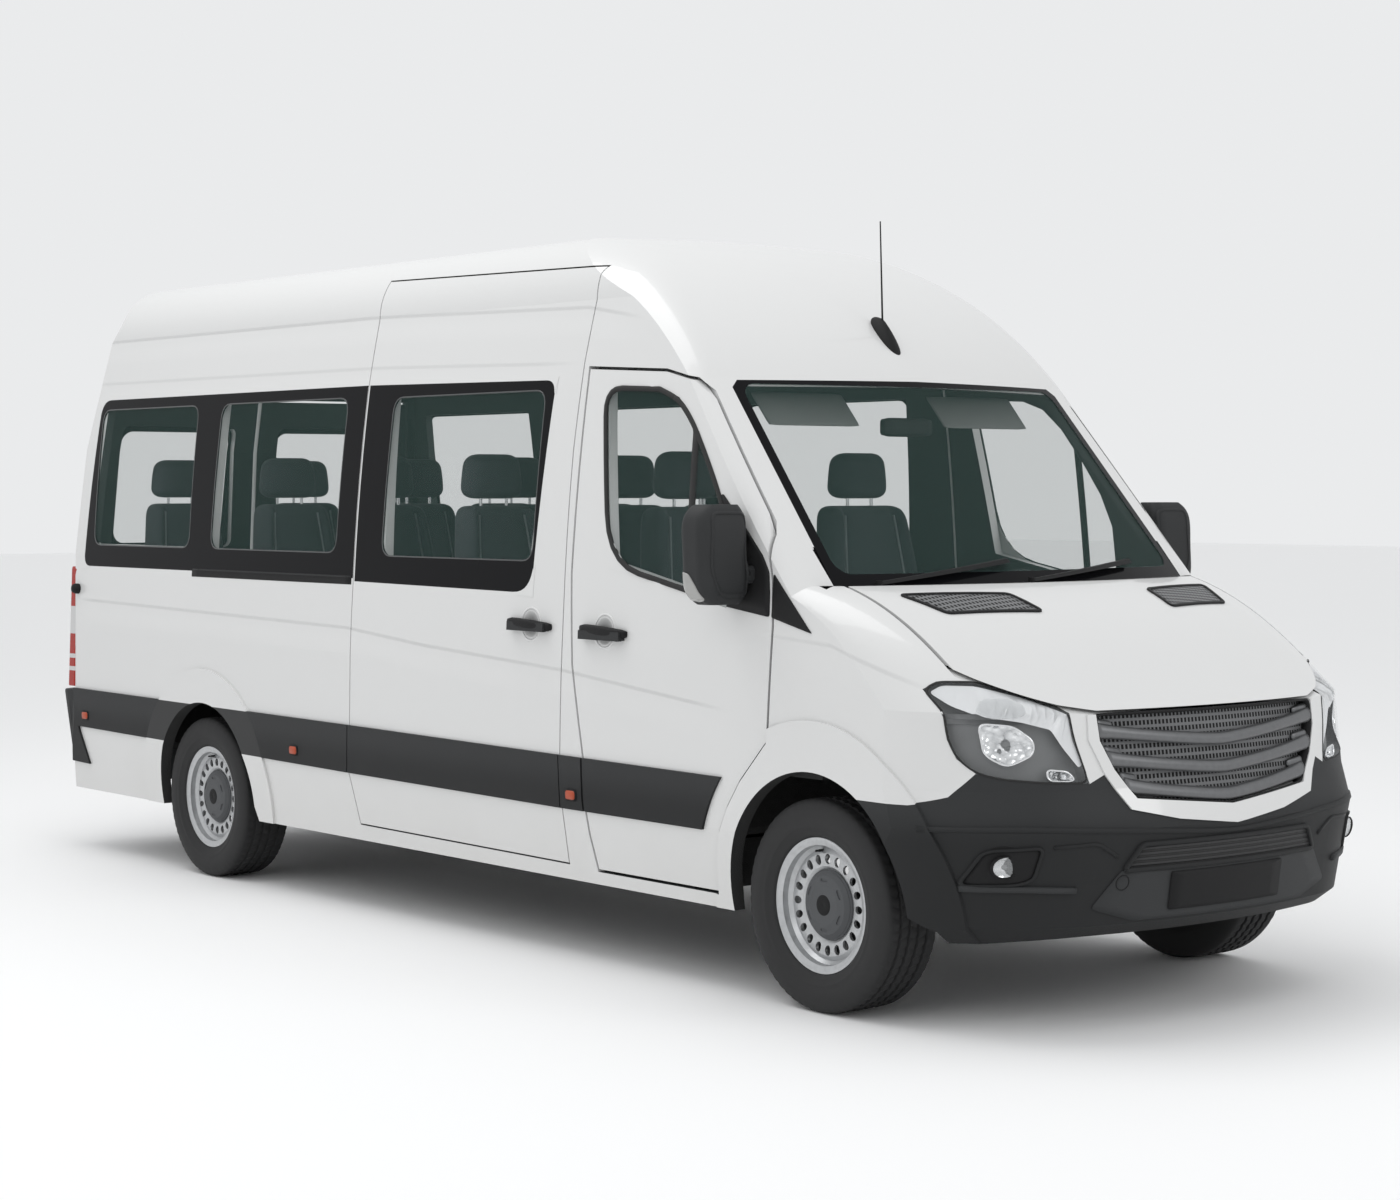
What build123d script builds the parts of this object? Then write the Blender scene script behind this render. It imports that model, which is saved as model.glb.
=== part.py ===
from build123d import *
from math import asin, cos, hypot, pi, sin, sqrt
import os

# Minibus, millimetres. +X forward, +Y left, +Z up; ground at Z 0, mid length and
# mid width at the origin. Outlines seen from the side are (ahead, height) and
# "ahead" counts from the front axle; outlines seen from the front are
# (across, height), from above (ahead, across).

os.makedirs("parts", exist_ok=True)

# ---------------------------------------------------------------- driving sizes
wheelbase = 4100.0
front_overhang = 940.0
rear_overhang = 1400.0
track = 1710.0
wall = 45.0            # doors, sides and roof, from skin to lining
panel = 30.0           # bonnet
shut = 11.0            # gap round a panel that moves
line = 6.0             # gap round a panel that does not
glass = 6.0
rest = 0.3             # clearance of a piece lying in its seat
fit = 0.05             # clearance all round a shaft in its bore
tyre_radius = 350.0
arch_radius = 425.0
flare_radius = 592.0
proud = 10.0           # rub strips and wheel lips beyond the skin
floor_top = 620.0
floor_thick = 60.0
sill_foot = 288.0
sill_top = 334.0
rail_height = 120.0
rail_width = 70.0
rail_centre = 435.0
kingpin_centre = 780.0
kingpin_radius = 20.0
hub_bore = 32.0        # spindles and axle ends turn in it
hub_face = 20.0        # inner face of a hub outward of the wheel's middle
column_tilt = 48.0     # steering column from level, degrees

length = front_overhang + wheelbase + rear_overhang
front_axle = length / 2 - front_overhang
half_track = track / 2
hub_height = tyre_radius
floor_under = floor_top - floor_thick
tail_ahead = -wheelbase - rear_overhang
rear_ahead = -wheelbase

# Cross-section, one side: (across, height) from foot to crown.
section_foot = (964.0, sill_foot)
section_rub = (996.0, 560.0)
section_belt = (970.0, 1500.0)
section_gutter = (856.0, 2390.0)
section_shoulder = (790.0, 2565.0)
section_crown_side = (560.0, 2640.0)
roof_height = 2655.0

# Plan outlines stacked in height: (height, tip ahead, corner radius, half width).
nose_low = (
    (sill_foot, 800.0, 540.0, 968.0),
    (345.0, 884.0, 560.0, 976.0),
    (480.0, 902.0, 560.0, 992.0),
    (645.0, 934.0, 560.0, 1004.0),
    (770.0, 893.0, 560.0, 1005.0),
    (1012.0, 855.0, 520.0, 1003.0),
)
nose_high = (
    (1012.0, 855.0, 520.0, 1003.0),
    (1110.0, 712.0, 460.0, 1000.0),
    (1240.0, 512.0, 410.0, 996.0),
    (1335.0, 318.0, 380.0, 992.0),
    (1386.0, 160.0, 360.0, 988.0),
)
screen = (
    (1290.0, 151.0, 120.0, 1000.0),
    (2090.0, -571.0, 120.0, 926.0),
)
forehead = (
    (2090.0, -571.0, 120.0, 926.0),
    (2252.0, -731.0, 160.0, 896.0),
    (2420.0, -960.0, 220.0, 864.0),
    (2560.0, -1235.0, 300.0, 816.0),
    (2668.0, -1800.0, 420.0, 770.0),
)
# The same for the tail, its tip counted forward from the rear end.
tail = (
    (sill_foot, 22.0, 95.0, 1000.0),
    (1416.0, 46.0, 95.0, 992.0),
    (1892.0, 86.0, 105.0, 950.0),
    (2390.0, 200.0, 130.0, 874.0),
    (2560.0, 275.0, 150.0, 815.0),
    (2668.0, 390.0, 170.0, 745.0),
)
nose_bow = 2430.0
screen_bow = 2950.0
tail_bow = 7000.0

# Shut lines and openings, (ahead, height).
front_door_line = (
    (-1323, 2136), (-870, 2112), (-718, 2078), (-617, 1998), (-525, 1900),
    (-408, 1762), (-325, 1667), (-253, 1547), (-210, 1400), (-200, 1257),
    (-216, 871), (-351, 734), (-420, 640), (-466, 550), (-492, 450), (-496, 345),
    (-1178, 345), (-1210, 467), (-1228, 599), (-1233, 742), (-1304, 1072), (-1328, 1400),
)
front_window_line = (
    (-1207, 2062), (-905, 2046), (-790, 2008), (-700, 1930), (-600, 1800),
    (-520, 1680), (-470, 1560), (-455, 1322), (-736, 1377), (-1105, 1447),
)
slide_door_line = (
    (-1336, 2510), (-1342, 2392), (-1368, 2160), (-1380, 1845), (-1376, 1230), (-1384, 742),
    (-1364, 349), (-2797, 357), (-2847, 560), (-2839, 753), (-2829, 1330), (-2831, 2130),
    (-2807, 2541),
)
slide_glass_line = ((-1528, 2103), (-1581, 1322), (-2822, 1334), (-2824, 2122))
slide_pane_line = ((-1556, 2070), (-1607, 1434), (-2610, 1434), (-2653, 2072))
rear_glass_line = ((-2838, 2122), (-2836, 1346), (-5258, 1346), (-5205, 2122))
middle_pane_line = ((-2972, 2080), (-2972, 1440), (-4041, 1440), (-4041, 2080))
rear_pane_line = ((-4236, 2080), (-4236, 1450), (-5193, 1450), (-5150, 2080))
roof_line = (
    (-300, 2098), (-700, 2098), (-880, 2134), (-1350, 2160), (-2830, 2184),
    (tail_ahead - 100, 2203), (tail_ahead - 100, 2800), (-300, 2800),
)
fender_line = (
    (-507, 250), (-504, 345), (-478, 560), (-362, 742), (-226, 876), (-212, 1296),
    (17, 1240), (-40, 1420), (1100, 1420), (1100, 250),
)
bonnet_front_line = ((-300, 1150), (470, 1150), (560, 1110), (745, 1032), (800, 1013), (900, 1013))
strip_line = (
    (-400, 550), (-1378, 550), (-2848, 560), (-5330, 588),
    (-5330, 766), (-2848, 753), (-1378, 742), (-300, 736),
)
rear_cap_line = (
    (tail_ahead - 60, 420), (tail_ahead - 60, 756), (-5436, 756), (-5335, 700), (-5205, 412),
)
tail_lamp_line = (
    (tail_ahead - 60, 771), (-5394, 771), (-5364, 1341), (tail_ahead - 60, 1341),
)

# Openings seen from the front, (across, height), right-hand half where paired.
screen_line = (
    (-838, 1370), (-838, 1400), (-789, 2054), (-757, 2080), (0, 2088),
    (757, 2080), (789, 2054), (838, 1400), (838, 1370),
)
lamp_line = (
    (-928, 1080), (-890, 1104), (-800, 1104), (-690, 1070), (-607, 1026), (-598, 930),
    (-560, 790), (-700, 796), (-813, 808), (-870, 826), (-905, 870), (-920, 930),
)
grille_line = (
    (-516, 1003), (-512, 920), (-470, 830), (-400, 738), (0, 700),
    (400, 738), (470, 830), (512, 920), (516, 1003),
)
surround_line = (
    (-545, 1011), (-552, 925), (-505, 815), (-430, 706), (-250, 668), (0, 640),
    (250, 668), (430, 706), (505, 815), (552, 925), (545, 1011),
)
bumper_line = (
    (-1100, 230), (-1100, 716), (-990, 722), (-925, 752), (-870, 826), (-813, 808),
    (-700, 796), (-560, 790), (-505, 815), (-430, 706), (-250, 668), (0, 640),
    (250, 668), (430, 706), (505, 815), (560, 790),
    (700, 796), (813, 808), (870, 826), (925, 752), (990, 722), (1100, 716), (1100, 230),
)
intake_line = ((-432, 560), (-380, 392), (380, 392), (432, 560), (0, 566))
rear_door_line = ((-10, 606), (-884, 606), (-880, 1350), (-845, 1900), (-812, 2136), (-10, 2136))
rear_window_line = ((-120, 1420), (-790, 1420), (-745, 2010), (-120, 2010))


# -------------------------------------------------------------------- helpers
def moved_out(points, amount):
    """Open line of (x, z) points, travelled upward, moved forward by amount."""
    normals = []
    for (x0, z0), (x1, z1) in zip(points, points[1:]):
        run = hypot(x1 - x0, z1 - z0)
        normals.append(((z1 - z0) / run, (x0 - x1) / run))
    moved = []
    for i, (x, z) in enumerate(points):
        a = normals[max(i - 1, 0)]
        b = normals[min(i, len(normals) - 1)]
        scale = amount / (1 + a[0] * b[0] + a[1] * b[1])
        moved.append((x + (a[0] + b[0]) * scale, z + (a[1] + b[1]) * scale))
    return moved


def plan_outline(height, tip, corner, half, bow, back, way=1):
    """Right-hand half of a plan outline: bowed end at tip, round corner, straight side."""
    middle = tip - bow
    side = half - corner
    lean = asin(side / (bow - corner))
    knee = middle + (bow - corner) * cos(lean)
    turn = (lean + pi / 2) / 2
    bow_mid = ((middle + bow * cos(lean / 2)) * way, -bow * sin(lean / 2))
    touch = ((middle + bow * cos(lean)) * way, -bow * sin(lean))
    corner_mid = ((knee + corner * cos(turn)) * way, -side - corner * sin(turn))
    with BuildSketch(Plane.XY.offset(height)) as face:
        with BuildLine():
            ThreePointArc((tip * way, 0), bow_mid, touch)
            ThreePointArc(touch, corner_mid, (knee * way, -half))
            Polyline((knee * way, -half), (back, -half), (back, 0), (tip * way, 0))
        make_face()
    return face.sketch


def stack(table, inset, bow, origin, back, way=1, ruled=True, open_foot=False):
    """Loft through a table of plan outlines, its skin moved in by inset."""
    profile = moved_out([(origin + tip * way, height) for height, tip, _, _ in table], -inset)
    with BuildPart() as solid:
        for i, ((x, z), (_, _, corner, half)) in enumerate(zip(profile, table)):
            height = z
            if open_foot and i == 0:
                height = table[0][0] - (150.0 if inset > 0 else 0.0)
            sizes = (max(corner - inset, 20.0), half - inset, bow, back, way)
            add(plan_outline(height, x, *sizes))
        loft(ruled=ruled)
    return solid.part


def cross_section(inset):
    """Right-hand half of the body's cross-section, drawn out over the whole length."""
    foot = sill_foot - (150.0 if inset > 0 else 0.0)
    low = (inset - section_foot[0], foot)
    rub = (inset - section_rub[0], section_rub[1])
    belt = (inset - section_belt[0], section_belt[1])
    gutter = (inset - section_gutter[0], section_gutter[1] - inset * 0.15)
    shoulder = (inset * 0.8 - section_shoulder[0], section_shoulder[1] - inset * 0.6)
    crown_side = (inset * 0.15 - section_crown_side[0], section_crown_side[1] - inset)
    crown = roof_height - inset
    crown_mid = (crown_side[0] / 2, crown - (crown - crown_side[1]) / 4)
    with BuildPart() as prism:
        with BuildSketch(Plane.YZ.offset(-length / 2 - 50)):
            with BuildLine():
                Polyline((0, crown), (0, foot), low, rub)
                ThreePointArc(rub, belt, gutter)
                ThreePointArc(gutter, shoulder, crown_side)
                ThreePointArc(crown_side, crown_mid, (0, crown))
            make_face()
        extrude(amount=length + 100)
    return prism.part


def envelope(inset):
    """The right-hand half of the body as one solid, its skin moved in by inset."""
    middle = front_axle - 2500.0
    section = cross_section(inset)
    fronts = [
        stack(nose_low, inset, nose_bow, front_axle, middle, open_foot=True),
        stack(nose_high, inset, nose_bow, front_axle, middle, ruled=False),
        stack(screen, inset, screen_bow, front_axle, middle),
        stack(forehead, inset, screen_bow, front_axle, middle, ruled=False),
    ]
    rear = stack(tail, inset, tail_bow, length / 2, middle, way=-1, open_foot=True)
    with BuildPart() as body:
        add(fronts)
        add(rear)
        add(section, mode=Mode.INTERSECT)
    return body.part


def nose_body(inset):
    """The nose alone, below the windscreen, its skin moved in by inset."""
    middle = front_axle - 700.0
    low = stack(nose_low, inset, nose_bow, front_axle, middle, open_foot=True)
    high = stack(nose_high, inset, nose_bow, front_axle, middle, ruled=False)
    with BuildPart() as body:
        add([low, high])
        add(cross_section(inset), mode=Mode.INTERSECT)
    return body.part


def screen_body(inset):
    """The glasshouse front alone, its skin moved in by inset."""
    with BuildPart() as body:
        add(stack(screen, inset, screen_bow, front_axle, front_axle - 1000.0))
        add(cross_section(inset), mode=Mode.INTERSECT)
    return body.part


def tail_body(inset):
    """The tail alone, its skin moved in by inset."""
    with BuildPart() as body:
        add(stack(tail, inset, tail_bow, length / 2, -length / 2 + 1000.0, way=-1, open_foot=True))
        add(cross_section(inset), mode=Mode.INTERSECT)
    return body.part


def side_prism(outline, near=-1300.0, far=0.0, grow=0.0, soften=0.0):
    """Prism across the body of an (ahead, height) outline."""
    with BuildPart() as prism:
        with BuildSketch(Plane.XZ.offset(-near)):
            with BuildLine():
                Polyline(*[(front_axle + ahead, height) for ahead, height in outline], close=True)
            make_face()
            if soften:
                fillet(vertices(), soften)
            if grow:
                offset(amount=grow, kind=Kind.INTERSECTION, mode=Mode.REPLACE)
        extrude(amount=near - far)
    return prism.part


def front_prism(outline, rear, front, grow=0.0, soften=0.0):
    """Prism along the body of an (across, height) outline, rear to front in ahead."""
    with BuildPart() as prism:
        with BuildSketch(Plane.YZ.offset(front_axle + rear)):
            with BuildLine():
                Polyline(*outline, close=True)
            make_face()
            if soften:
                fillet(vertices(), soften)
            if grow:
                offset(amount=grow, kind=Kind.INTERSECTION, mode=Mode.REPLACE)
        extrude(amount=front - rear)
    return prism.part


def plan_prism(outline, low, high):
    """Upright prism of an (ahead, across) outline."""
    with BuildPart() as prism:
        with BuildSketch(Plane.XY.offset(low)):
            with BuildLine():
                Polyline(*[(front_axle + ahead, across) for ahead, across in outline], close=True)
            make_face()
        extrude(amount=high - low)
    return prism.part


def block(rear, front, right, left, low, high):
    """Box between two places ahead, two across and two heights."""
    with BuildPart() as box:
        with BuildSketch(Plane.XY.offset(low)):
            with Locations((front_axle + (rear + front) / 2, (right + left) / 2)):
                Rectangle(front - rear, left - right)
        extrude(amount=high - low)
    return box.part


def drum(ahead, height, radius, near, far, bore=0.0):
    """Cylinder or ring across the body from one place across to another."""
    with BuildPart() as disc:
        with BuildSketch(Plane.XZ.offset(-near)):
            with Locations((front_axle + ahead, height)):
                Circle(radius)
                if bore:
                    Circle(bore, mode=Mode.SUBTRACT)
        extrude(amount=near - far)
    return disc.part


def post(ahead, across, radius, low, high, bore=0.0):
    """Upright cylinder or ring."""
    with BuildPart() as column:
        with BuildSketch(Plane.XY.offset(low)):
            with Locations((front_axle + ahead, across)):
                Circle(radius)
                if bore:
                    Circle(bore, mode=Mode.SUBTRACT)
        extrude(amount=high - low)
    return column.part


def minus(solid, *tools):
    """Solid with every tool cut from it."""
    with BuildPart() as left_over:
        add(solid)
        add(tools, mode=Mode.SUBTRACT)
    return left_over.part


def within(solid, *limits):
    """The part of solid that lies inside every limit."""
    with BuildPart() as kept:
        add(solid)
        for limit in limits:
            add(limit, mode=Mode.INTERSECT)
    return kept.part


def largest(solid):
    """The biggest single body of a solid, crumbs left by crossing cuts dropped."""
    return solid.solids().sort_by(SortBy.VOLUME)[-1]


def whole(solid):
    """A right-hand half joined to its mirror image."""
    with BuildPart() as joined:
        add(solid)
        mirror(about=Plane.XZ)
    return joined.part


# ------------------------------------------------------------ skins and panels
skin = envelope(0.0)
lining = envelope(wall)
shell = minus(skin, lining)
flank = cross_section(0.0)
pane_layer = minus(flank, cross_section(glass))
seat_layer = minus(flank, cross_section(glass + rest))
proud_flank = cross_section(-proud)
strip_layer = minus(proud_flank, flank)
lip_layer = minus(proud_flank, cross_section(wall))
room = cross_section(wall + 6.0)
nose = nose_body(0.0)
nose_lip_layer = minus(nose_body(-proud), nose_body(wall))
screen_skin = screen_body(0.0)
screen_seat_layer = minus(screen_skin, screen_body(glass + rest))
screen_pane_layer = minus(screen_skin, screen_body(glass))
tail_skin = tail_body(0.0)
tail_lining = tail_body(wall)
tail_seat_layer = minus(tail_skin, tail_body(glass + rest))
tail_pane_layer = minus(tail_skin, tail_body(glass))

# Zones that share the shell out between its panels.
roof_zone = side_prism(roof_line)
fender_zone = minus(side_prism(fender_line), block(-600, 1200, -830 - shut, 1, 1296, 1500))
bonnet_edge = bonnet_front_line + ((900, 1500), (-300, 1500))
bonnet_zone = side_prism(bonnet_edge, -830.0)
bonnet_gap = side_prism(bonnet_edge, -830.0 - shut, grow=shut)
cowl_edge = ((-300, 1), (-300, -841), (-10, -841), (5, -760), (52, -560), (97, -280), (112, 1))
cowl_zone = plan_prism(cowl_edge, 1250.0, 1500.0)
cowl_rim = plan_prism([(a + shut if a > -200 else a, y) for a, y in cowl_edge], 1250.0, 1500.0)
screen_hole = front_prism(screen_line, -950.0, 300.0, grow=-22.0)
screen_seat = within(screen_seat_layer, front_prism(screen_line, -950.0, 300.0, grow=rest))
lamp_zone = front_prism(lamp_line, 150.0, 1100.0)
bumper_zone = front_prism(bumper_line, 240.0, 1100.0)
surround_zone = front_prism(surround_line, 600.0, 1100.0)
grille_zone = front_prism(grille_line, 600.0, 1100.0)
front_arch = [
    drum(10.0, hub_height + 15.0, arch_radius, -1300.0, -520.0),
    side_prism(((-400, 200), (-415, 365), (435, 365), (520, 325), (545, 200)), -1300.0, -520.0),
]
rear_arch = [
    drum(rear_ahead + 30.0, hub_height, arch_radius - 5.0, -1300.0, -600.0),
    side_prism(
        (
            (rear_ahead - 350, 200),
            (rear_ahead - 390, 350),
            (rear_ahead + 450, 350),
            (rear_ahead + 520, 200),
        ),
        -1300.0,
        -600.0,
    ),
]
front_flare = drum(15.0, hub_height + 15.0, flare_radius, -1300.0, -600.0)
rear_flare = drum(rear_ahead + 30.0, hub_height, flare_radius - 22.0, -1300.0, -600.0)
door_gap = minus(side_prism(front_door_line, grow=shut), cross_section(wall + shut))
door_limit = minus(flank, cross_section(wall + 1.0))
slide_gap = side_prism(slide_door_line, grow=line)
rear_door_zone = front_prism(rear_door_line, tail_ahead - 60, tail_ahead + 330)
rear_door_gap = [
    front_prism(rear_door_line, tail_ahead - 60, tail_ahead + 330, grow=shut),
    block(tail_ahead - 60, tail_ahead + 330, -40.0, 1.0, 606.0 - shut, 2136.0 + shut),
]
past_corner = block(tail_ahead - 100, -5000, -895, 1, 0, 2000)
cap_zone = minus(side_prism(rear_cap_line), past_corner)
tread = block(tail_ahead, tail_ahead + 75, -905, 1, 425, 590)
tread_seat = block(tail_ahead - 20, tail_ahead + 75 + rest, -1100, 1, 425 - rest, 590 + rest)
tail_lamp_zone = minus(side_prism(tail_lamp_line), past_corner)

windows = {
    "slide": (slide_glass_line, slide_pane_line),
    "rear": (rear_glass_line, middle_pane_line, rear_pane_line),
    "front": (front_window_line, front_window_line),
}


def glazed(solid, *names):
    """Solid with the pane openings and the seats of the named windows cut."""
    tools = []
    for name in names:
        band, *panes = windows[name]
        edge = 14.0 if name == "front" else 0.0
        tools.append(within(seat_layer, side_prism(band, far=-600.0, grow=edge + rest)))
        tools += [side_prism(pane, far=-600.0, soften=12.0) for pane in panes]
    return minus(solid, *tools)


# ------------------------------------------------------------------ roof, sides
roof_half = whole(minus(within(shell, roof_zone), screen_hole, screen_seat))
with BuildPart() as roof:
    add(roof_half)
    add(slide_gap, mode=Mode.SUBTRACT)
roof.part.label = "roof"

sill_front = -512.0
rocker_box = block(-5200, sill_front, -1300, 1, sill_foot, sill_top)
rocker = within(minus(flank, cross_section(130.0)), rocker_box)
rear_lip = within(lip_layer, rear_flare, block(-5000, -3200, -1300, 1, sill_foot, 1100))
screen_foot = block(-300, 400, -900, 1, 200, 1386)
with BuildPart() as side_plain:
    add(shell)
    add([cowl_zone, fender_zone, roof_zone, bonnet_gap, screen_foot], mode=Mode.SUBTRACT)
    add([rocker, rear_lip])
    add([screen_hole, screen_seat, cap_zone, tread_seat, tail_lamp_zone], mode=Mode.SUBTRACT)
    add([door_gap] + rear_arch + rear_door_gap, mode=Mode.SUBTRACT)

right_blank = largest(glazed(minus(side_plain.part, slide_gap), "rear"))
with BuildPart() as body_side_right:
    add(right_blank)
body_side_right.part.label = "body_side_right"

left_blank = largest(glazed(side_plain.part, "rear", "slide"))
with BuildPart() as body_side_left:
    mirror(left_blank, about=Plane.XZ)
body_side_left.part.label = "body_side_left"

# ------------------------------------------------------- front wings and bonnet
front_lip = within(nose_lip_layer, front_flare, block(-600, 700, -1300, 1, sill_foot, 1100))
wing_lip = minus(front_lip, bumper_zone, block(-5200, sill_front + 8.0, -1300, 1, 0, sill_top))
wing_blank = within(shell, minus(fender_zone, bumper_zone, lamp_zone))
wing_cuts = front_arch + [door_gap, bonnet_gap, surround_zone, screen_hole]
wing = largest(minus(wing_blank + wing_lip, *wing_cuts, block(-700, 1200, -480, 1, 0, 1500)))
with BuildPart() as front_wings:
    add(wing)
    mirror(about=Plane.XZ)
front_wings.part.label = "front_wings"

bonnet_layer = minus(nose, nose_body(panel))
bonnet_half = minus(within(bonnet_layer, bonnet_zone), cowl_rim, surround_zone)
bonnet_whole = whole(largest(bonnet_half))
with BuildPart() as bonnet:
    add(bonnet_whole)
bonnet.part.label = "bonnet"

cowl_half = minus(within(shell, cowl_zone), screen_hole, block(-1300, 300, -1300, 1, 1386, 1600))
cowl_limit = block(-300, 300, -830 - shut, 1, 1200, 1386)
cowl_whole = whole(within(cowl_half, cowl_limit))
firewall_line = (
    (-450, floor_under), (-450, 785), (-25, 785), (-25, 1341), (10, 1341), (10, 760),
    (-428, 760), (-428, floor_under),
)
toe_board = whole(within(nose_body(wall + 6.0), side_prism(firewall_line)))
with BuildPart() as firewall:
    add(cowl_whole)
    add(toe_board)
firewall.part.label = "firewall"

# ------------------------------------------------------------- nose and lights
bumper_half = minus(
    within(shell, bumper_zone), *front_arch, front_prism(intake_line, 700, 1000), grille_zone
)
fog_place = (825.0, 561.0)
fog_radius = 46.0
with BuildPart() as fog_bore:
    with BuildSketch(Plane.YZ.offset(front_axle + 500)):
        with Locations((-fog_place[0], fog_place[1])):
            Circle(fog_radius + rest)
    extrude(amount=500)
with BuildPart() as fog_core:
    with BuildSketch(Plane.YZ.offset(front_axle + 500)):
        with Locations((-fog_place[0], fog_place[1])):
            Circle(fog_radius)
    extrude(amount=500)
bumper_lip = minus(within(front_lip, bumper_zone), *front_arch)
bumper_whole = whole(largest(minus(bumper_half + bumper_lip, fog_bore.part)))
with BuildPart() as front_bumper:
    add(bumper_whole)
front_bumper.part.label = "front_bumper"

slat_pitch = 30.0
with BuildPart() as intake_frame:
    with BuildSketch(Plane.YZ.offset(front_axle + 600)):
        with BuildLine():
            Polyline(*intake_line, close=True)
        make_face()
        offset(amount=-rest, kind=Kind.INTERSECTION, mode=Mode.REPLACE)
        with Locations([(-190, 412 + slat_pitch * i) for i in range(5)]):
            Rectangle(350, slat_pitch - 12, mode=Mode.SUBTRACT)
    extrude(amount=400)
intake_half = within(minus(nose_body(12.0), lining), intake_frame.part)

surround_layer = minus(nose_body(-6.0), lining)
surround_half = within(surround_layer, minus(surround_zone, grille_zone))
surround_whole = whole(minus(surround_half, lamp_zone, bonnet_gap))
with BuildPart() as grille_surround:
    add(surround_whole)
grille_surround.part.label = "grille_surround"

blade_drop = 34.0      # how far each blade dips at the middle
blade_height = 34.0
blades = []
for height in (950.0, 872.0, 794.0):
    outline = (
        (-600, height), (-60, height - blade_drop * 0.8), (0, height - blade_drop),
        (0, height - blade_drop - blade_height), (-60, height - blade_drop * 0.8 - blade_height),
        (-600, height - blade_height),
    )
    blades.append(front_prism(outline, 600, 1100))
grille_opening = front_prism(grille_line, 600.0, 1100.0, grow=-rest)
blade_foot = nose_body(30.0)
blade_layer = within(minus(nose, blade_foot), grille_opening)
mesh_layer = within(minus(blade_foot, nose_body(38.0)), grille_opening)
blade_set = [within(blade_layer, blade) for blade in blades]
with BuildPart() as grille_half:
    add(mesh_layer)
    add(blade_set)
    add(intake_half)
grille_whole = whole(grille_half.part)
with BuildPart() as grille:
    add(grille_whole)
grille.part.label = "grille"

lamp_seat = front_prism(lamp_line, 150.0, 1100.0, grow=-rest)
lamp_half = minus(within(shell, lamp_seat), bonnet_gap, surround_zone)
fog_half = within(minus(nose, lining), fog_core.part)
with BuildPart() as front_lamps:
    add([largest(lamp_half), largest(fog_half)])
    mirror(about=Plane.XZ)
front_lamps.part.label = "front_lamps"

# ---------------------------------------------------------------------- glass
screen_shape = front_prism(screen_line, -950.0, 300.0)
screen_whole = whole(within(screen_pane_layer, screen_shape, block(-900, 300, -1300, 1, 1386, 2200)))
with BuildPart() as windscreen:
    add(screen_whole)
windscreen.part.label = "windscreen"

slide_glass = within(pane_layer, side_prism(slide_glass_line, far=-600.0))
rear_glass = within(pane_layer, side_prism(rear_glass_line, far=-600.0))
left_glass = (slide_glass + rear_glass).mirror(Plane.XZ)
with BuildPart() as side_glass:
    add([slide_glass, rear_glass])
    add(left_glass)
side_glass.part.label = "side_glass"

# ----------------------------------------------------------------- side doors
slide_blank = glazed(within(shell, side_prism(slide_door_line)), "slide")
# Rollers' carriers reach behind the pillars and lie against their lining.
carrier_back = cross_section(wall + 16.0)
carrier_layer = minus(cross_section(wall + 2.0), carrier_back)
carrier_root = minus(cross_section(wall - 5.0), carrier_back)
carriers = []
for rear, front, low in ((-1440, -1350, 1180), (-2880, -2760, 1180), (-2880, -2760, 640)):
    # its far end behind the pillar, its root in the door
    carriers.append(within(carrier_layer, block(rear, front, -1300, 1, low, low + 60)))
    root_front = min(front, -1400)
    root_rear = max(rear, -2820)
    carriers.append(within(carrier_root, block(root_rear, root_front, -1300, 1, low, low + 60)))
with BuildPart() as sliding_door:
    add(slide_blank)
    add(carriers)
sliding_door.part.label = "sliding_door"

door_blank = minus(within(shell, side_prism(front_door_line), door_limit), bonnet_gap)
front_door = largest(glazed(door_blank, "front"))
with BuildPart() as door_front_right:
    add(front_door)
door_front_right.part.label = "door_front_right"
with BuildPart() as door_front_left:
    mirror(front_door, about=Plane.XZ)
door_front_left.part.label = "door_front_left"

door_pane = within(pane_layer, side_prism(front_window_line, far=-600.0, grow=14.0))
with BuildPart() as door_glass_right:
    add(largest(door_pane))
door_glass_right.part.label = "door_glass_right"
with BuildPart() as door_glass_left:
    mirror(largest(door_pane), about=Plane.XZ)
door_glass_left.part.label = "door_glass_left"

# Mirror, handle and rub strip of a front door.
mirror_head = (
    # height, ahead, across, depth, width
    (1322.0, -362.0, -1082.0, 92.0, 130.0),
    (1365.0, -362.0, -1090.0, 128.0, 192.0),
    (1500.0, -368.0, -1094.0, 138.0, 200.0),
    (1615.0, -374.0, -1090.0, 128.0, 190.0),
    (1652.0, -376.0, -1080.0, 88.0, 140.0),
)
with BuildPart() as mirror_shell:
    for height, ahead, across, depth, width in mirror_head:
        with BuildSketch(Plane.XY.offset(height)):
            with Locations((front_axle + ahead, across)):
                RectangleRounded(depth, width, depth * 0.3)
    loft()
with BuildPart() as mirror_arm:
    with BuildSketch(Plane.XZ.offset(880.0)):
        with Locations((front_axle - 340.0, 1420.0)):
            RectangleRounded(90.0, 60.0, 20.0)
    extrude(amount=135.0)
mirror_root = minus(mirror_arm.part, flank)
handle_skin = cross_section(-30.0)
handle_layer = minus(handle_skin, cross_section(-14.0))
handle_foot_layer = minus(handle_skin, flank)


def bar_handle(rear, front, height):
    """Pull bar on two feet."""
    bar = within(handle_layer, block(rear, front, -1300, 1, height - 16, height + 16))
    feet = [
        within(handle_foot_layer, block(place, place + 34, -1300, 1, height - 14, height + 14))
        for place in (rear, front - 34)
    ]
    return bar + feet


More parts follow.
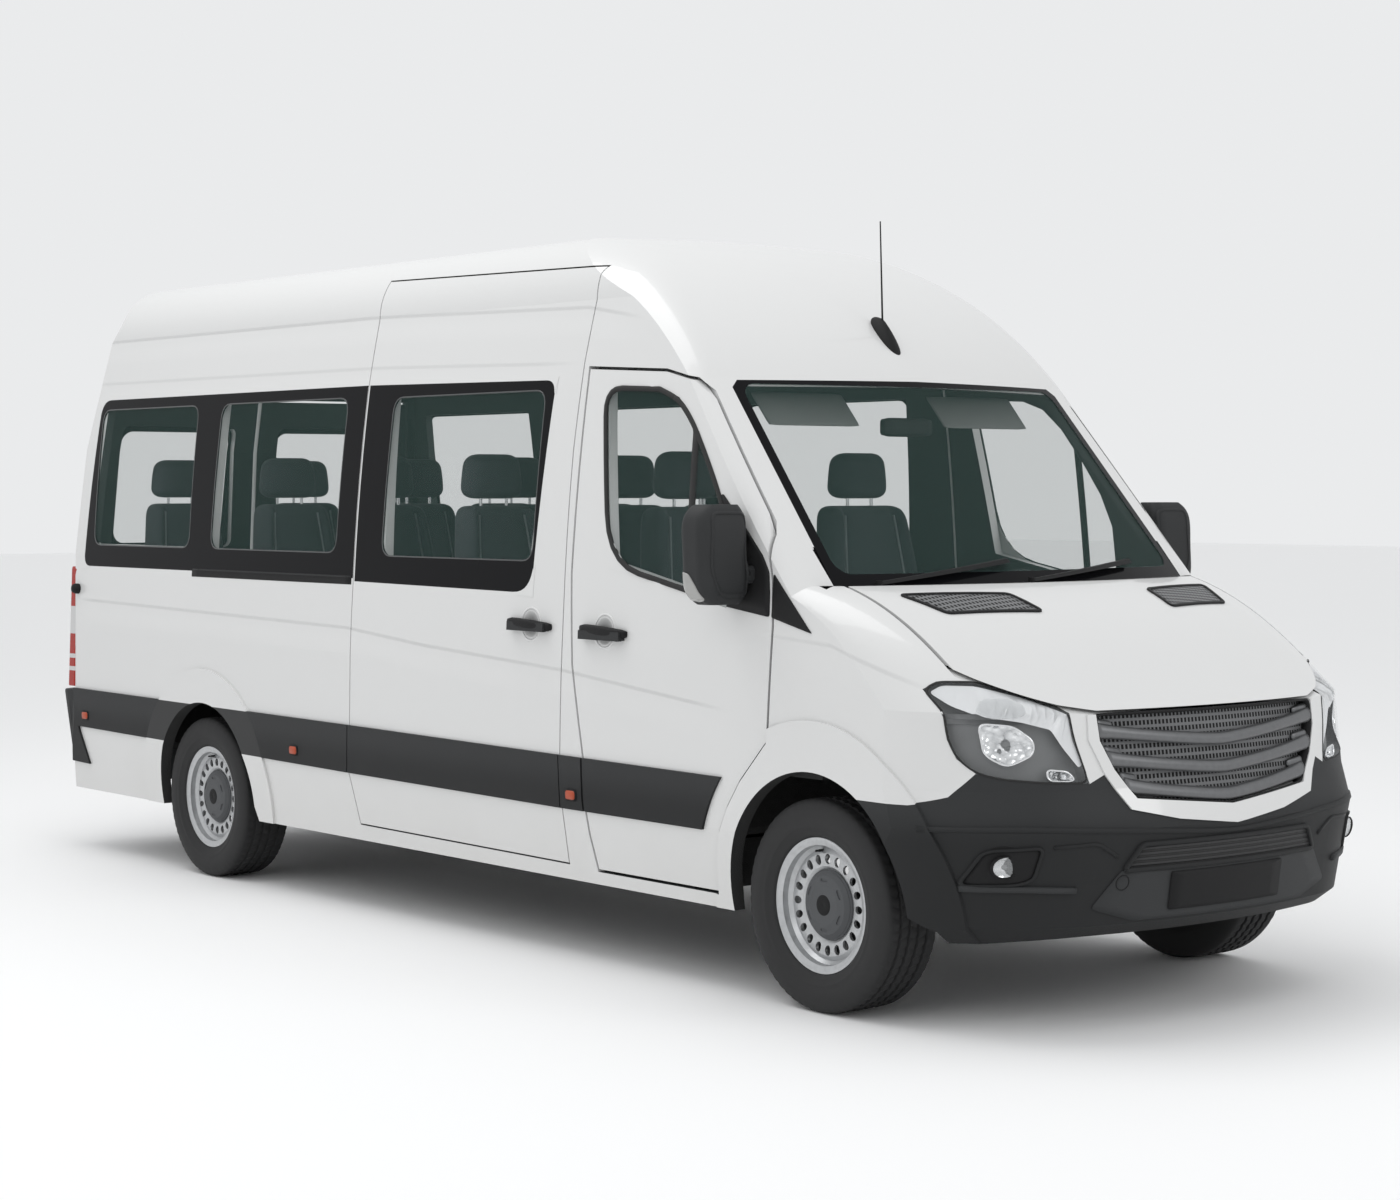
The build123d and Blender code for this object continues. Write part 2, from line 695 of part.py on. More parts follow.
door_strip = minus(
    within(strip_layer, side_prism(strip_line), side_prism(front_door_line)), front_flare
)
door_mirror = mirror_shell.part + mirror_root
door_handle = bar_handle(-1240.0, -1000.0, 1185.0)
with BuildPart() as door_trim_right:
    add([door_mirror, door_handle, largest(door_strip)])
door_trim_right.part.label = "door_trim_right"
with BuildPart() as door_trim_left:
    mirror(door_trim_right.part, about=Plane.XZ)
door_trim_left.part.label = "door_trim_left"

# ------------------------------------------------------------------ rear doors
rear_blank = minus(within(shell, rear_door_zone), cap_zone)
rear_pane_hole = front_prism(rear_window_line, tail_ahead - 60, tail_ahead + 330, soften=40.0)
rear_pane_zone = front_prism(rear_window_line, tail_ahead - 60, tail_ahead + 330, grow=22.0)
rear_seat_zone = front_prism(rear_window_line, tail_ahead - 60, tail_ahead + 330, grow=22.0 + rest)
rear_door = minus(rear_blank, rear_pane_hole, within(tail_seat_layer, rear_seat_zone))
with BuildPart() as door_rear_right:
    add(largest(rear_door))
door_rear_right.part.label = "door_rear_right"
with BuildPart() as door_rear_left:
    mirror(largest(rear_door), about=Plane.XZ)
door_rear_left.part.label = "door_rear_left"
rear_pane = largest(within(tail_pane_layer, rear_pane_zone))
with BuildPart() as door_glass_rear_right:
    add(rear_pane)
door_glass_rear_right.part.label = "door_glass_rear_right"
with BuildPart() as door_glass_rear_left:
    mirror(rear_pane, about=Plane.XZ)
door_glass_rear_left.part.label = "door_glass_rear_left"

# ---------------------------------------------------------- strips, tail, roof
strip_zone = side_prism(strip_line)
strip_cuts = [front_flare, rear_flare, cap_zone, side_prism(front_door_line, grow=shut)]
long_strip = minus(within(strip_layer, strip_zone), *strip_cuts, block(-360, 900, -1300, 1, 0, 3000))
right_strips = minus(long_strip, minus(slide_gap, side_prism(slide_door_line)))
slide_handle = bar_handle(-1690.0, -1460.0, 1200.0)
with BuildPart() as rub_strips:
    add(right_strips)
    add(slide_handle)
    mirror(long_strip, about=Plane.XZ)
rub_strips.part.label = "rub_strips"

cap_half = minus(within(minus(tail_body(-proud), tail_lining), cap_zone), rear_door_zone)
bumper_rear_half = minus(cap_half, tread) + tread
with BuildPart() as rear_bumper:
    add(whole(bumper_rear_half))
rear_bumper.part.label = "rear_bumper"

tail_lamp = within(shell, tail_lamp_zone)
with BuildPart() as tail_lamps:
    add(tail_lamp)
    mirror(about=Plane.XZ)
tail_lamps.part.label = "tail_lamps"

with BuildPart() as antenna:
    with BuildSketch(Plane.XY.offset(2246.0)):
        with Locations((front_axle - 742.0, 0)):
            Ellipse(34, 13)
    extrude(amount=44, taper=11)
with BuildPart() as mast:
    for height, ahead, radius in ((2280.0, -748.0, 3.8), (roof_height + 22.8, -762.0, 2.4)):
        with BuildSketch(Plane.XY.offset(height)):
            with Locations((front_axle + ahead, 0)):
                Circle(radius)
    loft()
antenna_piece = minus(antenna.part + mast.part, skin, skin.mirror(Plane.XZ))
with BuildPart() as roof_antenna:
    add(antenna_piece)
roof_antenna.part.label = "roof_antenna"

# ------------------------------------------------------------ floor and chassis
tub = (rear_ahead - 410, rear_ahead + 470)
tub_outer = within(room, block(tub[0], tub[1], -1300, -680, floor_under, 830))
tub_inner = block(tub[0] + 10, tub[1] - 10, -1300, -690, 0, 820)
floor_slab = within(room, block(-4500, -450 - rest, -1300, 1, floor_under, floor_top))
floor_tail = within(tail_body(wall + rest), block(-5430, -4500, -1300, 1, floor_under, 606))
floor_end = within(tail_body(wall + 6.0), block(-5360, -4500, -1300, 1, 606, floor_top))
floor_half = minus(floor_slab + [floor_tail, floor_end, tub_outer], tub_inner)
with BuildPart() as floor_pan:
    add(whole(floor_half))
floor_pan.part.label = "floor_pan"

rail_foot = floor_under - rail_height
rail_low = rail_centre - rail_width / 2
rail_high = rail_centre + rail_width / 2
rail = block(-5400, 740, -rail_high, -rail_low, rail_foot, floor_under)
cross_places = (-5300.0, -4560.0, -3560.0, -2400.0, -1300.0, -560.0, 330.0)
crosses = [block(a - 40, a + 40, -rail_low - 1, 1, rail_foot, rail_foot + 60) for a in cross_places]
outrigger_space = cross_section(70.0)
outriggers = [
    within(outrigger_space, block(a - 35, a + 35, -1300, -rail_high + 1, sill_top, rail_foot + 60))
    for a in (-3300.0, -2400.0, -1300.0, -620.0)
]
beam = block(700, 780, -562, 1, 470, 560)
upper_arm = block(-28, 28, -kingpin_centre, -rail_high + 1, 440, 465)
lower_arm = block(-30, 30, -kingpin_centre, -rail_low, 225, 250)
arm_drop = block(-60, 60, -rail_high, -rail_low, 225, rail_foot + 1)
arm_eyes = [post(0, -kingpin_centre, 34, 440, 465), post(0, -kingpin_centre, 34, 225, 250)]
kingpin_bore = post(0, -kingpin_centre, kingpin_radius + fit, 200, 500)
chassis_half = minus(
    rail + crosses + outriggers + [beam, upper_arm, lower_arm, arm_drop] + arm_eyes, kingpin_bore
)
with BuildPart() as chassis:
    add(whole(chassis_half))
chassis.part.label = "chassis"

with BuildPart() as engine:
    add(block(60, 600, -260, 260, rail_foot + 60, 1000))
    fillet(engine.edges(), 12)
engine.part.label = "engine"

spring_top = rail_foot
axle_tube = drum(rear_ahead, hub_height, 46.0, -half_track - hub_face + 6.0, 1.0)
axle_stub = drum(rear_ahead, hub_height, hub_bore - fit, -half_track - 40.0, -700.0)
axle_ball = drum(rear_ahead, hub_height, 140.0, -95.0, 1.0)
spring = block(rear_ahead - 640, rear_ahead + 640, -rail_centre - 32, -rail_centre + 32, 394, 424)
hangers = [
    block(a - 30, a + 30, -rail_centre - 30, -rail_centre + 30, 400, spring_top)
    for a in (rear_ahead - 600, rear_ahead + 600)
]
with BuildPart() as rear_axle_beam:
    add(whole(axle_tube + [axle_stub, axle_ball, spring] + hangers))
rear_axle_beam.part.label = "rear_axle"

# -------------------------------------------------------------------- inside
dash_line = (
    (-26, 1340), (-26, 860), (-230, 880), (-360, 960), (-440, 1130), (-430, 1240), (-330, 1300),
)
dash_side = 895.0      # half width, clear of the windscreen pillars
dash_block = block(-600, 0, -dash_side, 1, 800, 1400)
dash_half = within(cross_section(wall + 12.0), side_prism(dash_line), dash_block)
wheel_place = (-600.0, 430.0, 1265.0)
shaft_radius = 18.0
hub_plane = Plane(
    origin=(front_axle + wheel_place[0], wheel_place[1], wheel_place[2]),
    x_dir=(0, 1, 0),
    z_dir=(-cos(column_tilt * pi / 180), 0, sin(column_tilt * pi / 180)),
)
with BuildPart() as steering_wheel:
    with BuildSketch(hub_plane):
        Circle(205)
        Circle(178, mode=Mode.SUBTRACT)
        Circle(62)
        Rectangle(360, 36)
        with Locations((0, -100)):
            Rectangle(36, 170)
    extrude(amount=12, both=True)
    with BuildSketch(hub_plane):
        Circle(shaft_radius)
    extrude(amount=-330)
steering_wheel.part.label = "steering_wheel"

with BuildPart() as column_tube:
    with BuildSketch(hub_plane.offset(-60)):
        Circle(36)
    extrude(amount=-300)
with BuildPart() as column_bore:
    with BuildSketch(hub_plane):
        Circle(shaft_radius + fit)
    extrude(amount=-350)
binnacle = block(-470, -300, 290, 570, 1230, 1350)
with BuildPart() as dashboard:
    add(whole(dash_half))
    add([binnacle, column_tube.part])
    add(column_bore.part, mode=Mode.SUBTRACT)
dashboard.part.label = "dashboard"


def seat(ahead, across, base, width, back_height=610.0):
    """Cushion, back and headrest of one place, each its own crowned block."""
    with BuildPart() as cushion:
        with BuildSketch(Plane.XY.offset(base)):
            with Locations((front_axle + ahead + 40, across)):
                RectangleRounded(470, width, 60)
        extrude(amount=120)
        fillet(cushion.edges().group_by(Axis.Z)[-1], 25)
    with BuildPart() as back:
        with BuildSketch(Plane.XY.offset(base + 126)):
            with Locations((front_axle + ahead - 190, across)):
                RectangleRounded(110, width - 20, 40)
        with BuildSketch(Plane.XY.offset(base + 126 + back_height)):
            with Locations((front_axle + ahead - 290, across)):
                RectangleRounded(80, width - 110, 35)
        loft()
    with BuildPart() as rest_pad:
        with BuildSketch(Plane.XY.offset(base + 160 + back_height)):
            with Locations((front_axle + ahead - 298, across)):
                RectangleRounded(90, 260, 40)
        extrude(amount=170)
        fillet(rest_pad.edges().group_by(Axis.Z)[-1], 25)
    return [cushion.part, back.part, rest_pad.part]


def seat_frame(ahead, across, base, width):
    """Pedestal from the floor, back plate and headrest pins."""
    pedestal = block(ahead - 150, ahead + 200, across - 95, across + 95, floor_top, base)
    return pedestal


front_places = ((-1060.0, 430.0, 900.0, 500.0), (-1060.0, -430.0, 900.0, 500.0))
row_ahead = (-2150.0, -2960.0, -3770.0, -4800.0)
row_across = (-560.0, 120.0, 580.0)
rear_places = [(a, y, 900.0, 430.0) for a in row_ahead for y in row_across]
front_pads = [pad for place in front_places for pad in seat(*place)]
rear_pads = [pad for place in rear_places for pad in seat(*place)]
with BuildPart() as front_seats:
    add(front_pads)
front_seats.part.label = "front_seats"
with BuildPart() as rear_seats:
    add(rear_pads)
rear_seats.part.label = "rear_seats"
frames = [seat_frame(*place) for place in list(front_places) + rear_places]
with BuildPart() as seat_frames:
    add(frames)
seat_frames.part.label = "seat_frames"

# ------------------------------------------------------------- wheels, steering
rim_profile = (
    # out from the wheel's middle, radius
    (-93, 222), (-86, 222), (-82, 204), (-60, 204), (-48, 190), (28, 190), (60, 204), (82, 204),
    (86, 222), (93, 222), (92, 212), (86, 197), (64, 195), (52, 183), (60, 168), (62, 150),
    (58, 126), (50, 114), (50, hub_bore), (20, hub_bore), (20, 70), (40, 114), (48, 130),
    (51, 150), (46, 166), (30, 182), (-46, 182), (-62, 196), (-80, 197), (-92, 212),
)
cap_profile = ((50.5, 0), (50.5, 112), (62, 110), (74, 96), (80, 66), (80, 0))
tyre_profile = (
    (-81.6, 204.3), (-85.7, 222.4), (-98, 227), (-117.5, 286), (-112, 329), (-92, 350),
    (92, 350), (112, 329), (117.5, 286), (98, 227), (85.7, 222.4), (81.6, 204.3),
)
hole_count = 20
hole_ring = 150.0


def turned(profile, ahead, hand):
    """Solid of revolution on a wheel's axis from (outward, radius) points."""
    axle = Axis((front_axle + ahead, 0, hub_height), (0, 1, 0))
    with BuildPart() as solid:
        with BuildSketch(Plane.YZ.offset(front_axle + ahead)):
            with BuildLine():
                Polyline(
                    *[(hand * (half_track + out), hub_height + radius) for out, radius in profile],
                    close=True,
                )
            make_face()
        revolve(axis=axle)
    return solid.part


def wheel_rim(ahead, hand):
    """Steel rim with a ring of oval holes and a centre cap with six slots."""
    steel = turned(rim_profile, ahead, hand)
    cap = turned(cap_profile, ahead, hand)
    face = Plane(
        origin=(front_axle + ahead, hand * (half_track + 20), hub_height),
        x_dir=(1, 0, 0),
        z_dir=(0, hand, 0),
    )
    with BuildPart() as holes:
        with BuildSketch(face):
            with PolarLocations(hole_ring, hole_count):
                Ellipse(17, 13)
        extrude(amount=60)
    with BuildPart() as slots:
        with BuildSketch(face.offset(54)):
            with PolarLocations(82, 6, 30):
                SlotOverall(34, 10, rotation=90)
        extrude(amount=40)
    return minus(steel, holes.part) + minus(cap, slots.part)


front_rim = wheel_rim(0.0, -1)
rear_rim = wheel_rim(rear_ahead, -1)
front_tyre = turned(tyre_profile, 0.0, -1)
rear_tyre = turned(tyre_profile, rear_ahead, -1)
with BuildPart() as rim_front_right:
    add(front_rim)
rim_front_right.part.label = "rim_front_right"
with BuildPart() as rim_front_left:
    mirror(front_rim, about=Plane.XZ)
rim_front_left.part.label = "rim_front_left"
with BuildPart() as rim_rear_right:
    add(rear_rim)
rim_rear_right.part.label = "rim_rear_right"
with BuildPart() as rim_rear_left:
    mirror(rear_rim, about=Plane.XZ)
rim_rear_left.part.label = "rim_rear_left"
with BuildPart() as tyre_front_right:
    add(front_tyre)
tyre_front_right.part.label = "tyre_front_right"
with BuildPart() as tyre_front_left:
    mirror(front_tyre, about=Plane.XZ)
tyre_front_left.part.label = "tyre_front_left"
with BuildPart() as tyre_rear_right:
    add(rear_tyre)
tyre_rear_right.part.label = "tyre_rear_right"
with BuildPart() as tyre_rear_left:
    mirror(rear_tyre, about=Plane.XZ)
tyre_rear_left.part.label = "tyre_rear_left"

upright = post(0, -kingpin_centre, 34, 256, 434)
kingpin = post(0, -kingpin_centre, kingpin_radius, 216, 474)
spindle_root = drum(0, hub_height, 42.0, -half_track - hub_face + 6.0, -kingpin_centre)
spindle = drum(0, hub_height, hub_bore - fit, -half_track - 40.0, -kingpin_centre)
steering_knuckle = upright + [kingpin, spindle_root, spindle]
with BuildPart() as knuckle_right:
    add(steering_knuckle)
knuckle_right.part.label = "knuckle_right"
with BuildPart() as knuckle_left:
    mirror(steering_knuckle, about=Plane.XZ)
knuckle_left.part.label = "knuckle_left"

# --------------------------------------------------------------------- wipers
wiper_layer = minus(screen_body(-24.0), screen_body(-10.0))
wiper_left = minus(screen_body(-24.0), screen_body(-10.0)).mirror(Plane.XZ)
wiper_shapes = (
    ((-705, 1396), (-690, 1388), (-120, 1452), (-122, 1466)),
    ((-75, 1396), (-60, 1388), (520, 1440), (518, 1454)),
)
wiper_blades = [
    within(wiper_layer + wiper_left, front_prism(outline, -300, 400)) for outline in wiper_shapes
]
wiper_pivots = [post(4, -697, 11, 1386, 1402), post(82, -67, 11, 1386, 1402)]
with BuildPart() as wipers:
    add(wiper_blades)
    add(wiper_pivots)
wipers.part.label = "wipers"

pieces = (
    roof, body_side_right, body_side_left, front_wings, bonnet, firewall, front_bumper,
    grille_surround, grille, front_lamps, windscreen, side_glass, sliding_door,
    door_front_right, door_front_left, door_glass_right, door_glass_left,
    door_trim_right, door_trim_left, door_rear_right, door_rear_left,
    door_glass_rear_right, door_glass_rear_left, rub_strips, rear_bumper, tail_lamps,
    roof_antenna, floor_pan, chassis, engine, rear_axle_beam, dashboard, steering_wheel,
    front_seats, rear_seats, seat_frames, wipers, knuckle_right, knuckle_left,
    rim_front_right, rim_front_left, rim_rear_right, rim_rear_left,
    tyre_front_right, tyre_front_left, tyre_rear_right, tyre_rear_left,
)
for piece in pieces:
    export_step(piece.part, f"parts/{piece.part.label}.step")
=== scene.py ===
import math

import bmesh
import bpy
from mathutils import Matrix, Vector
from mathutils.bvhtree import BVHTree


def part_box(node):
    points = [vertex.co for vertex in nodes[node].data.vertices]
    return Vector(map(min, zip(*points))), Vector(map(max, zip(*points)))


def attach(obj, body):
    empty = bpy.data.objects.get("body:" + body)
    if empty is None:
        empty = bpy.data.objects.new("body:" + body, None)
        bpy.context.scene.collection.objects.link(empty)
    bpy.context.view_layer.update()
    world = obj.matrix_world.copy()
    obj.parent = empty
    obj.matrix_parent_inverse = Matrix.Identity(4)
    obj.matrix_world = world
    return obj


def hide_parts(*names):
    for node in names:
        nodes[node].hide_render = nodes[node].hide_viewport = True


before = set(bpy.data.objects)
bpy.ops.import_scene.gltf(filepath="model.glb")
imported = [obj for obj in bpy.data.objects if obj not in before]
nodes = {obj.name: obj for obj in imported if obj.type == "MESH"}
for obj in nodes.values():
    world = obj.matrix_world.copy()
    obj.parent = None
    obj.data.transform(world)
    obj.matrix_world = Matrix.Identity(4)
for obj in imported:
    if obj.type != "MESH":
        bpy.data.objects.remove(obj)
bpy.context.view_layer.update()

bl_info = {
    "name": "Minibus dressing",
    "version": (1, 0, 0),
    "blender": (4, 5, 0),
    "location": "View3D > Sidebar > Minibus",
    "description": "Finishes, lamps, seats and trim of a high-roofed minibus",
    "category": "Object",
}

# Lengths in metres. "ahead" counts from the front axle, "across" to the left of the middle.
SIDES = {"right": -1, "left": 1}
low_tyre, high_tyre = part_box("tyre_front_right")
front_axle = (low_tyre.x + high_tyre.x) / 2
wheel_height = (low_tyre.z + high_tyre.z) / 2
wheel_across = -(low_tyre.y + high_tyre.y) / 2
low_rear_tyre, high_rear_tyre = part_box("tyre_rear_right")
rear_axle = (low_rear_tyre.x + high_rear_tyre.x) / 2


# ------------------------------------------------------------------ settings
class MinibusPaint(bpy.types.PropertyGroup):
    body: bpy.props.FloatVectorProperty(
        name="Body colour", description="Paint of the panels", subtype="COLOR",
        size=3, min=0, max=1, default=(0.665, 0.667, 0.663),
    )
    trim: bpy.props.FloatVectorProperty(
        name="Trim colour", description="Grained plastic of bumpers and rub strips",
        subtype="COLOR", size=3, min=0, max=1, default=(0.026, 0.027, 0.028),
    )
    cloth: bpy.props.FloatVectorProperty(
        name="Seat cloth", description="Woven cloth of the seats", subtype="COLOR",
        size=3, min=0, max=1, default=(0.040, 0.044, 0.050),
    )
    glass: bpy.props.FloatVectorProperty(
        name="Glass tint", description="Tint of the window glass", subtype="COLOR",
        size=3, min=0, max=1, default=(0.10, 0.17, 0.155),
    )
    glass_density: bpy.props.FloatProperty(
        name="Glass density", description="Share of light that a pane stops",
        subtype="FACTOR", min=0, max=1, default=0.11,
    )


class MinibusSizes(bpy.types.PropertyGroup):
    seal_width: bpy.props.FloatProperty(
        name="Seal width", description="Rubber round the front side windows",
        unit="LENGTH", min=0.005, max=0.05, default=0.020,
    )
    groove_depth: bpy.props.FloatProperty(
        name="Tread depth", description="Depth of the tyres' grooves",
        unit="LENGTH", min=0.002, max=0.012, default=0.008,
    )
    camera_lens: bpy.props.FloatProperty(
        name="Lens", description="Focal length of the camera",
        unit="CAMERA", min=20, max=200, default=70.92,
    )


# ------------------------------------------------------------ shader helpers
class Value:
    """A shader socket that takes part in arithmetic; each operation adds a Math node."""

    def __init__(self, finish, socket):
        self.finish = finish
        self.socket = socket

    def math(self, operation, *others):
        node = self.finish.node("ShaderNodeMath", {"operation": operation})
        for place, value in enumerate((self, *others)):
            self.finish.feed(node.inputs[place], value)
        return Value(self.finish, node.outputs[0])

    def __add__(self, other):
        return self.math("ADD", other)

    __radd__ = __add__

    def __mul__(self, other):
        return self.math("MULTIPLY", other)

    __rmul__ = __mul__

    def __sub__(self, other):
        return self.math("SUBTRACT", other)

    def __rsub__(self, other):
        return (self * -1.0) + other

    def __pow__(self, other):
        return self.math("POWER", other)

    def __abs__(self):
        return self.math("ABSOLUTE")

    def most(self, other):
        return self.math("MAXIMUM", other)

    def least(self, other):
        return self.math("MINIMUM", other)

    def step(self, start, end):
        """0 below start, 1 above end, eased between."""
        node = self.finish.node("ShaderNodeMapRange", {"interpolation_type": "SMOOTHSTEP"})
        self.finish.feed(node.inputs["Value"], self)
        node.inputs["From Min"].default_value = start
        node.inputs["From Max"].default_value = end
        return Value(self.finish, node.outputs[0])


class Finish:
    """One material round a Principled shader, and the nodes that feed it."""

    def __init__(self, name, **sockets):
        self.material = bpy.data.materials.new(name)
        self.material.use_nodes = True
        self.tree = self.material.node_tree
        self.shader = self.tree.nodes["Principled BSDF"]
        self.set(**sockets)

    def node(self, kind, settings=None, **inputs):
        made = self.tree.nodes.new(kind)
        for key, value in (settings or {}).items():
            setattr(made, key, value)
        for key, value in inputs.items():
            self.feed(made.inputs[key.replace("_", " ")], value)
        return made

    def feed(self, socket, value):
        if isinstance(value, Value):
            self.tree.links.new(value.socket, socket)
        elif isinstance(value, bpy.types.NodeSocket):
            self.tree.links.new(value, socket)
        elif hasattr(value, "__len__") and len(value) == 3 and socket.type == "RGBA":
            socket.default_value = (*value, 1.0)
        else:
            socket.default_value = value

    def set(self, **sockets):
        for key, value in sockets.items():
            self.feed(self.shader.inputs[key.replace("_", " ")], value)
        return self

    def place(self):
        """The surface point in the frame's metres, as three values."""
        where = self.node("ShaderNodeTexCoord").outputs["Object"]
        split = self.node("ShaderNodeSeparateXYZ")
        self.feed(split.inputs[0], where)
        return [Value(self, output) for output in split.outputs]

    def noise(self, scale, detail):
        where = self.node("ShaderNodeTexCoord").outputs["Object"]
        made = self.node("ShaderNodeTexNoise", Vector=where, Scale=scale, Detail=detail)
        return Value(self, made.outputs["Fac"])

    def cells(self, scale):
        where = self.node("ShaderNodeTexCoord").outputs["Object"]
        made = self.node("ShaderNodeTexVoronoi", Vector=where, Scale=scale)
        return Value(self, made.outputs["Distance"])

    def mix(self, factor, first, second):
        made = self.node("ShaderNodeMix", {"data_type": "RGBA"})
        self.feed(made.inputs[0], factor)
        self.feed(made.inputs[6], first)
        self.feed(made.inputs[7], second)
        return made.outputs[2]

    def blend(self, factor, first, second):
        """Makes the base colour run from the first to the second as the factor grows."""
        self.set(Base_Color=self.mix(factor, first, second))

    def relief(self, height, distance, strength):
        """Bumps the surface by a height of 0 to 1."""
        made = self.node("ShaderNodeBump", Height=height, Distance=distance, Strength=strength)
        self.set(Normal=made.outputs[0])


def wave(value, pitch):
    """0 to 1 ripple of a value with the given pitch."""
    return (value * (2 * math.pi / pitch)).math("SINE") * 0.5 + 0.5


def tinted(colour, share):
    """The colour, darker or paler by a share."""
    return tuple(part * share for part in colour)


def rounded_box(u, v, half_u, half_v, radius):
    """Distance outside a rounded box of the given half sizes, from two centred values."""
    du = (abs(u) - (half_u - radius)).most(0.0)
    dv = (abs(v) - (half_v - radius)).most(0.0)
    return (du * du + dv * dv) ** 0.5 - radius


# ------------------------------------------------------------------ finishes
# Lines pressed into the sides: (depth, distances across where the line starts and is whole,
# path of (ahead, height) from rear to front).
BODY_SKIN = (0.72, 0.78)
WING_SKIN = (0.88, 0.93)
PRESSED_LINES = (
    (1.0, BODY_SKIN,
     ((-5.24, 1.187), (-2.87, 1.145), (-2.29, 1.099), (-1.38, 1.050), (-0.35, 0.955))),
    (0.7, BODY_SKIN, ((-5.24, 2.395), (-2.86, 2.397), (-1.38, 2.363), (-0.98, 2.300))),
    (0.5, BODY_SKIN, ((-5.24, 2.199), (-2.80, 2.191), (-1.40, 2.160), (-1.36, 2.158))),
    (0.8, WING_SKIN,
     ((-0.22, 1.222), (0.097, 1.202), (0.211, 1.167), (0.394, 1.107), (0.600, 1.040))),
)
CUPS = {"door": (-1.118, 1.200), "slide": (-1.574, 1.208)}  # middles of the handles' cups
CUP_RADIUS = 0.060
# Clear fields of the tail lamp: (low, high, height that each edge fades over).
CLEAR_FIELDS = ((1.020, 1.150, 0.004), (0.905, 0.925, 0.003), (0.845, 0.865, 0.003))


def make_paint(colours):
    """White gloss paint with pressed lines along the side and road film low down."""
    finish = Finish("white_paint", Coat_Roughness=0.06)
    x, y, z = finish.place()
    ahead = x - front_axle
    film = (1.0 - z.step(0.28, 0.75)) * finish.noise(2.6, 5.0) * 0.30
    cloud = finish.noise(1.1, 2.0) * 0.03
    clean = tuple(colours.body)
    dusty = tuple(part * shade for part, shade in zip(clean, (0.70, 0.68, 0.64)))
    # The rub strip's band runs on, black, over the lip of the rear wheel opening. Both its edges
    # rise a little towards the rear.
    behind = (ahead + 2.848) * -1.0
    above_low_edge = (z - behind * 0.0113).step(0.560, 0.562)
    above_high_edge = (z - behind * 0.0052).step(0.751, 0.753)
    band = above_low_edge * (1.0 - above_high_edge)
    reach = abs(x - rear_axle)
    band = band * (1.0 - reach.step(0.700, 0.702)) * abs(y).step(0.90, 0.902)
    white = finish.mix(film + cloud, clean, dusty)
    finish.blend(band, white, tinted(colours.trim, 0.55))
    finish.set(Coat_Weight=(1.0 - band) * 0.55)
    finish.set(Roughness=finish.noise(9.0, 2.0) * 0.06 + 0.30 + film * 0.3 + band * 0.25)
    pressed = None
    for depth, skin, path in PRESSED_LINES:
        height = path[0][1]
        for (x0, z0), (x1, z1) in zip(path, path[1:]):
            height = (ahead - x0).most(0.0).least(x1 - x0) * ((z1 - z0) / (x1 - x0)) + height
        start, end = path[0][0], path[-1][0]
        below = height - z
        groove = below.step(-0.009, 0.009) * (1.0 - below.step(0.012, 0.110))
        groove = groove * ahead.step(start - 0.08, start + 0.08)
        groove = groove * (1.0 - ahead.step(end - 0.3, end))
        groove = groove * abs(y).step(*skin) * depth
        pressed = groove if pressed is None else pressed + groove
    pressed = 1.0 - pressed
    grain = finish.noise(900.0, 1.0) * 0.02
    finish.relief(pressed + grain * 0.004, 0.007, 1.0)
    return finish.material


def make_lining(name, colour, roughness=0.85):
    """Flat interior lining with a fine felt grain."""
    finish = Finish(name, Roughness=roughness)
    fibre = finish.noise(420.0, 4.0)
    finish.blend(fibre, tinted(colour, 0.7), colour)
    finish.relief(fibre, 0.0008, 0.6)
    return finish.material


def make_grained(name, colour, roughness=0.55, grain=1500.0, depth=0.0004, low=1.0):
    """Moulded plastic with a leather-like grain, slight fading and painted shade low down, where
    low is under 1.
    """
    finish = Finish(name, Specular_IOR_Level=0.20)
    pits = finish.cells(grain)
    fade = finish.noise(5.0, 4.0)
    pale = tuple(min(1.0, part * 1.45 + 0.004) for part in colour)
    # Painted shade: from 0.72 m down to 0.60 m the colour darkens towards a quarter of itself, by a
    # share of 1 - low.
    shade = (1.0 - finish.place()[2].step(0.60, 0.72)) * (1.0 - low)
    worn = finish.mix(fade * 0.5, colour, pale)
    finish.blend(shade, worn, tinted(colour, 0.25))
    finish.set(Roughness=fade * 0.12 + (roughness - 0.06))
    finish.relief(pits, depth, 0.5)
    return finish.material


def make_gloss(name, colour, roughness=0.12):
    """Smooth moulded plastic."""
    finish = Finish(name, Coat_Weight=0.3, Coat_Roughness=0.05)
    smear = finish.noise(14.0, 4.0)
    finish.blend(smear * 0.3, colour, tinted(colour, 0.7))
    finish.set(Roughness=smear * 0.08 + roughness)
    return finish.material


def make_metal(name, colour, roughness=0.32, metallic=0.85):
    """Painted or bare metal with faint streaks."""
    finish = Finish(name, Metallic=metallic)
    streak = finish.noise(60.0, 5.0)
    finish.blend(streak, tinted(colour, 0.72), colour)
    finish.set(Roughness=streak * 0.16 + (roughness - 0.05))
    finish.relief(streak, 0.0003, 0.4)
    return finish.material


def make_rubber(name, colour=(0.012, 0.012, 0.0125)):
    """Tyre and seal rubber."""
    finish = Finish(name)
    bloom = finish.noise(24.0, 6.0)
    grey = tuple(part * 2.1 + 0.004 for part in colour)
    finish.blend(bloom * 0.55, colour, grey)
    finish.set(Roughness=bloom * 0.2 + 0.66)
    finish.relief(finish.noise(700.0, 2.0), 0.0004, 0.4)
    return finish.material


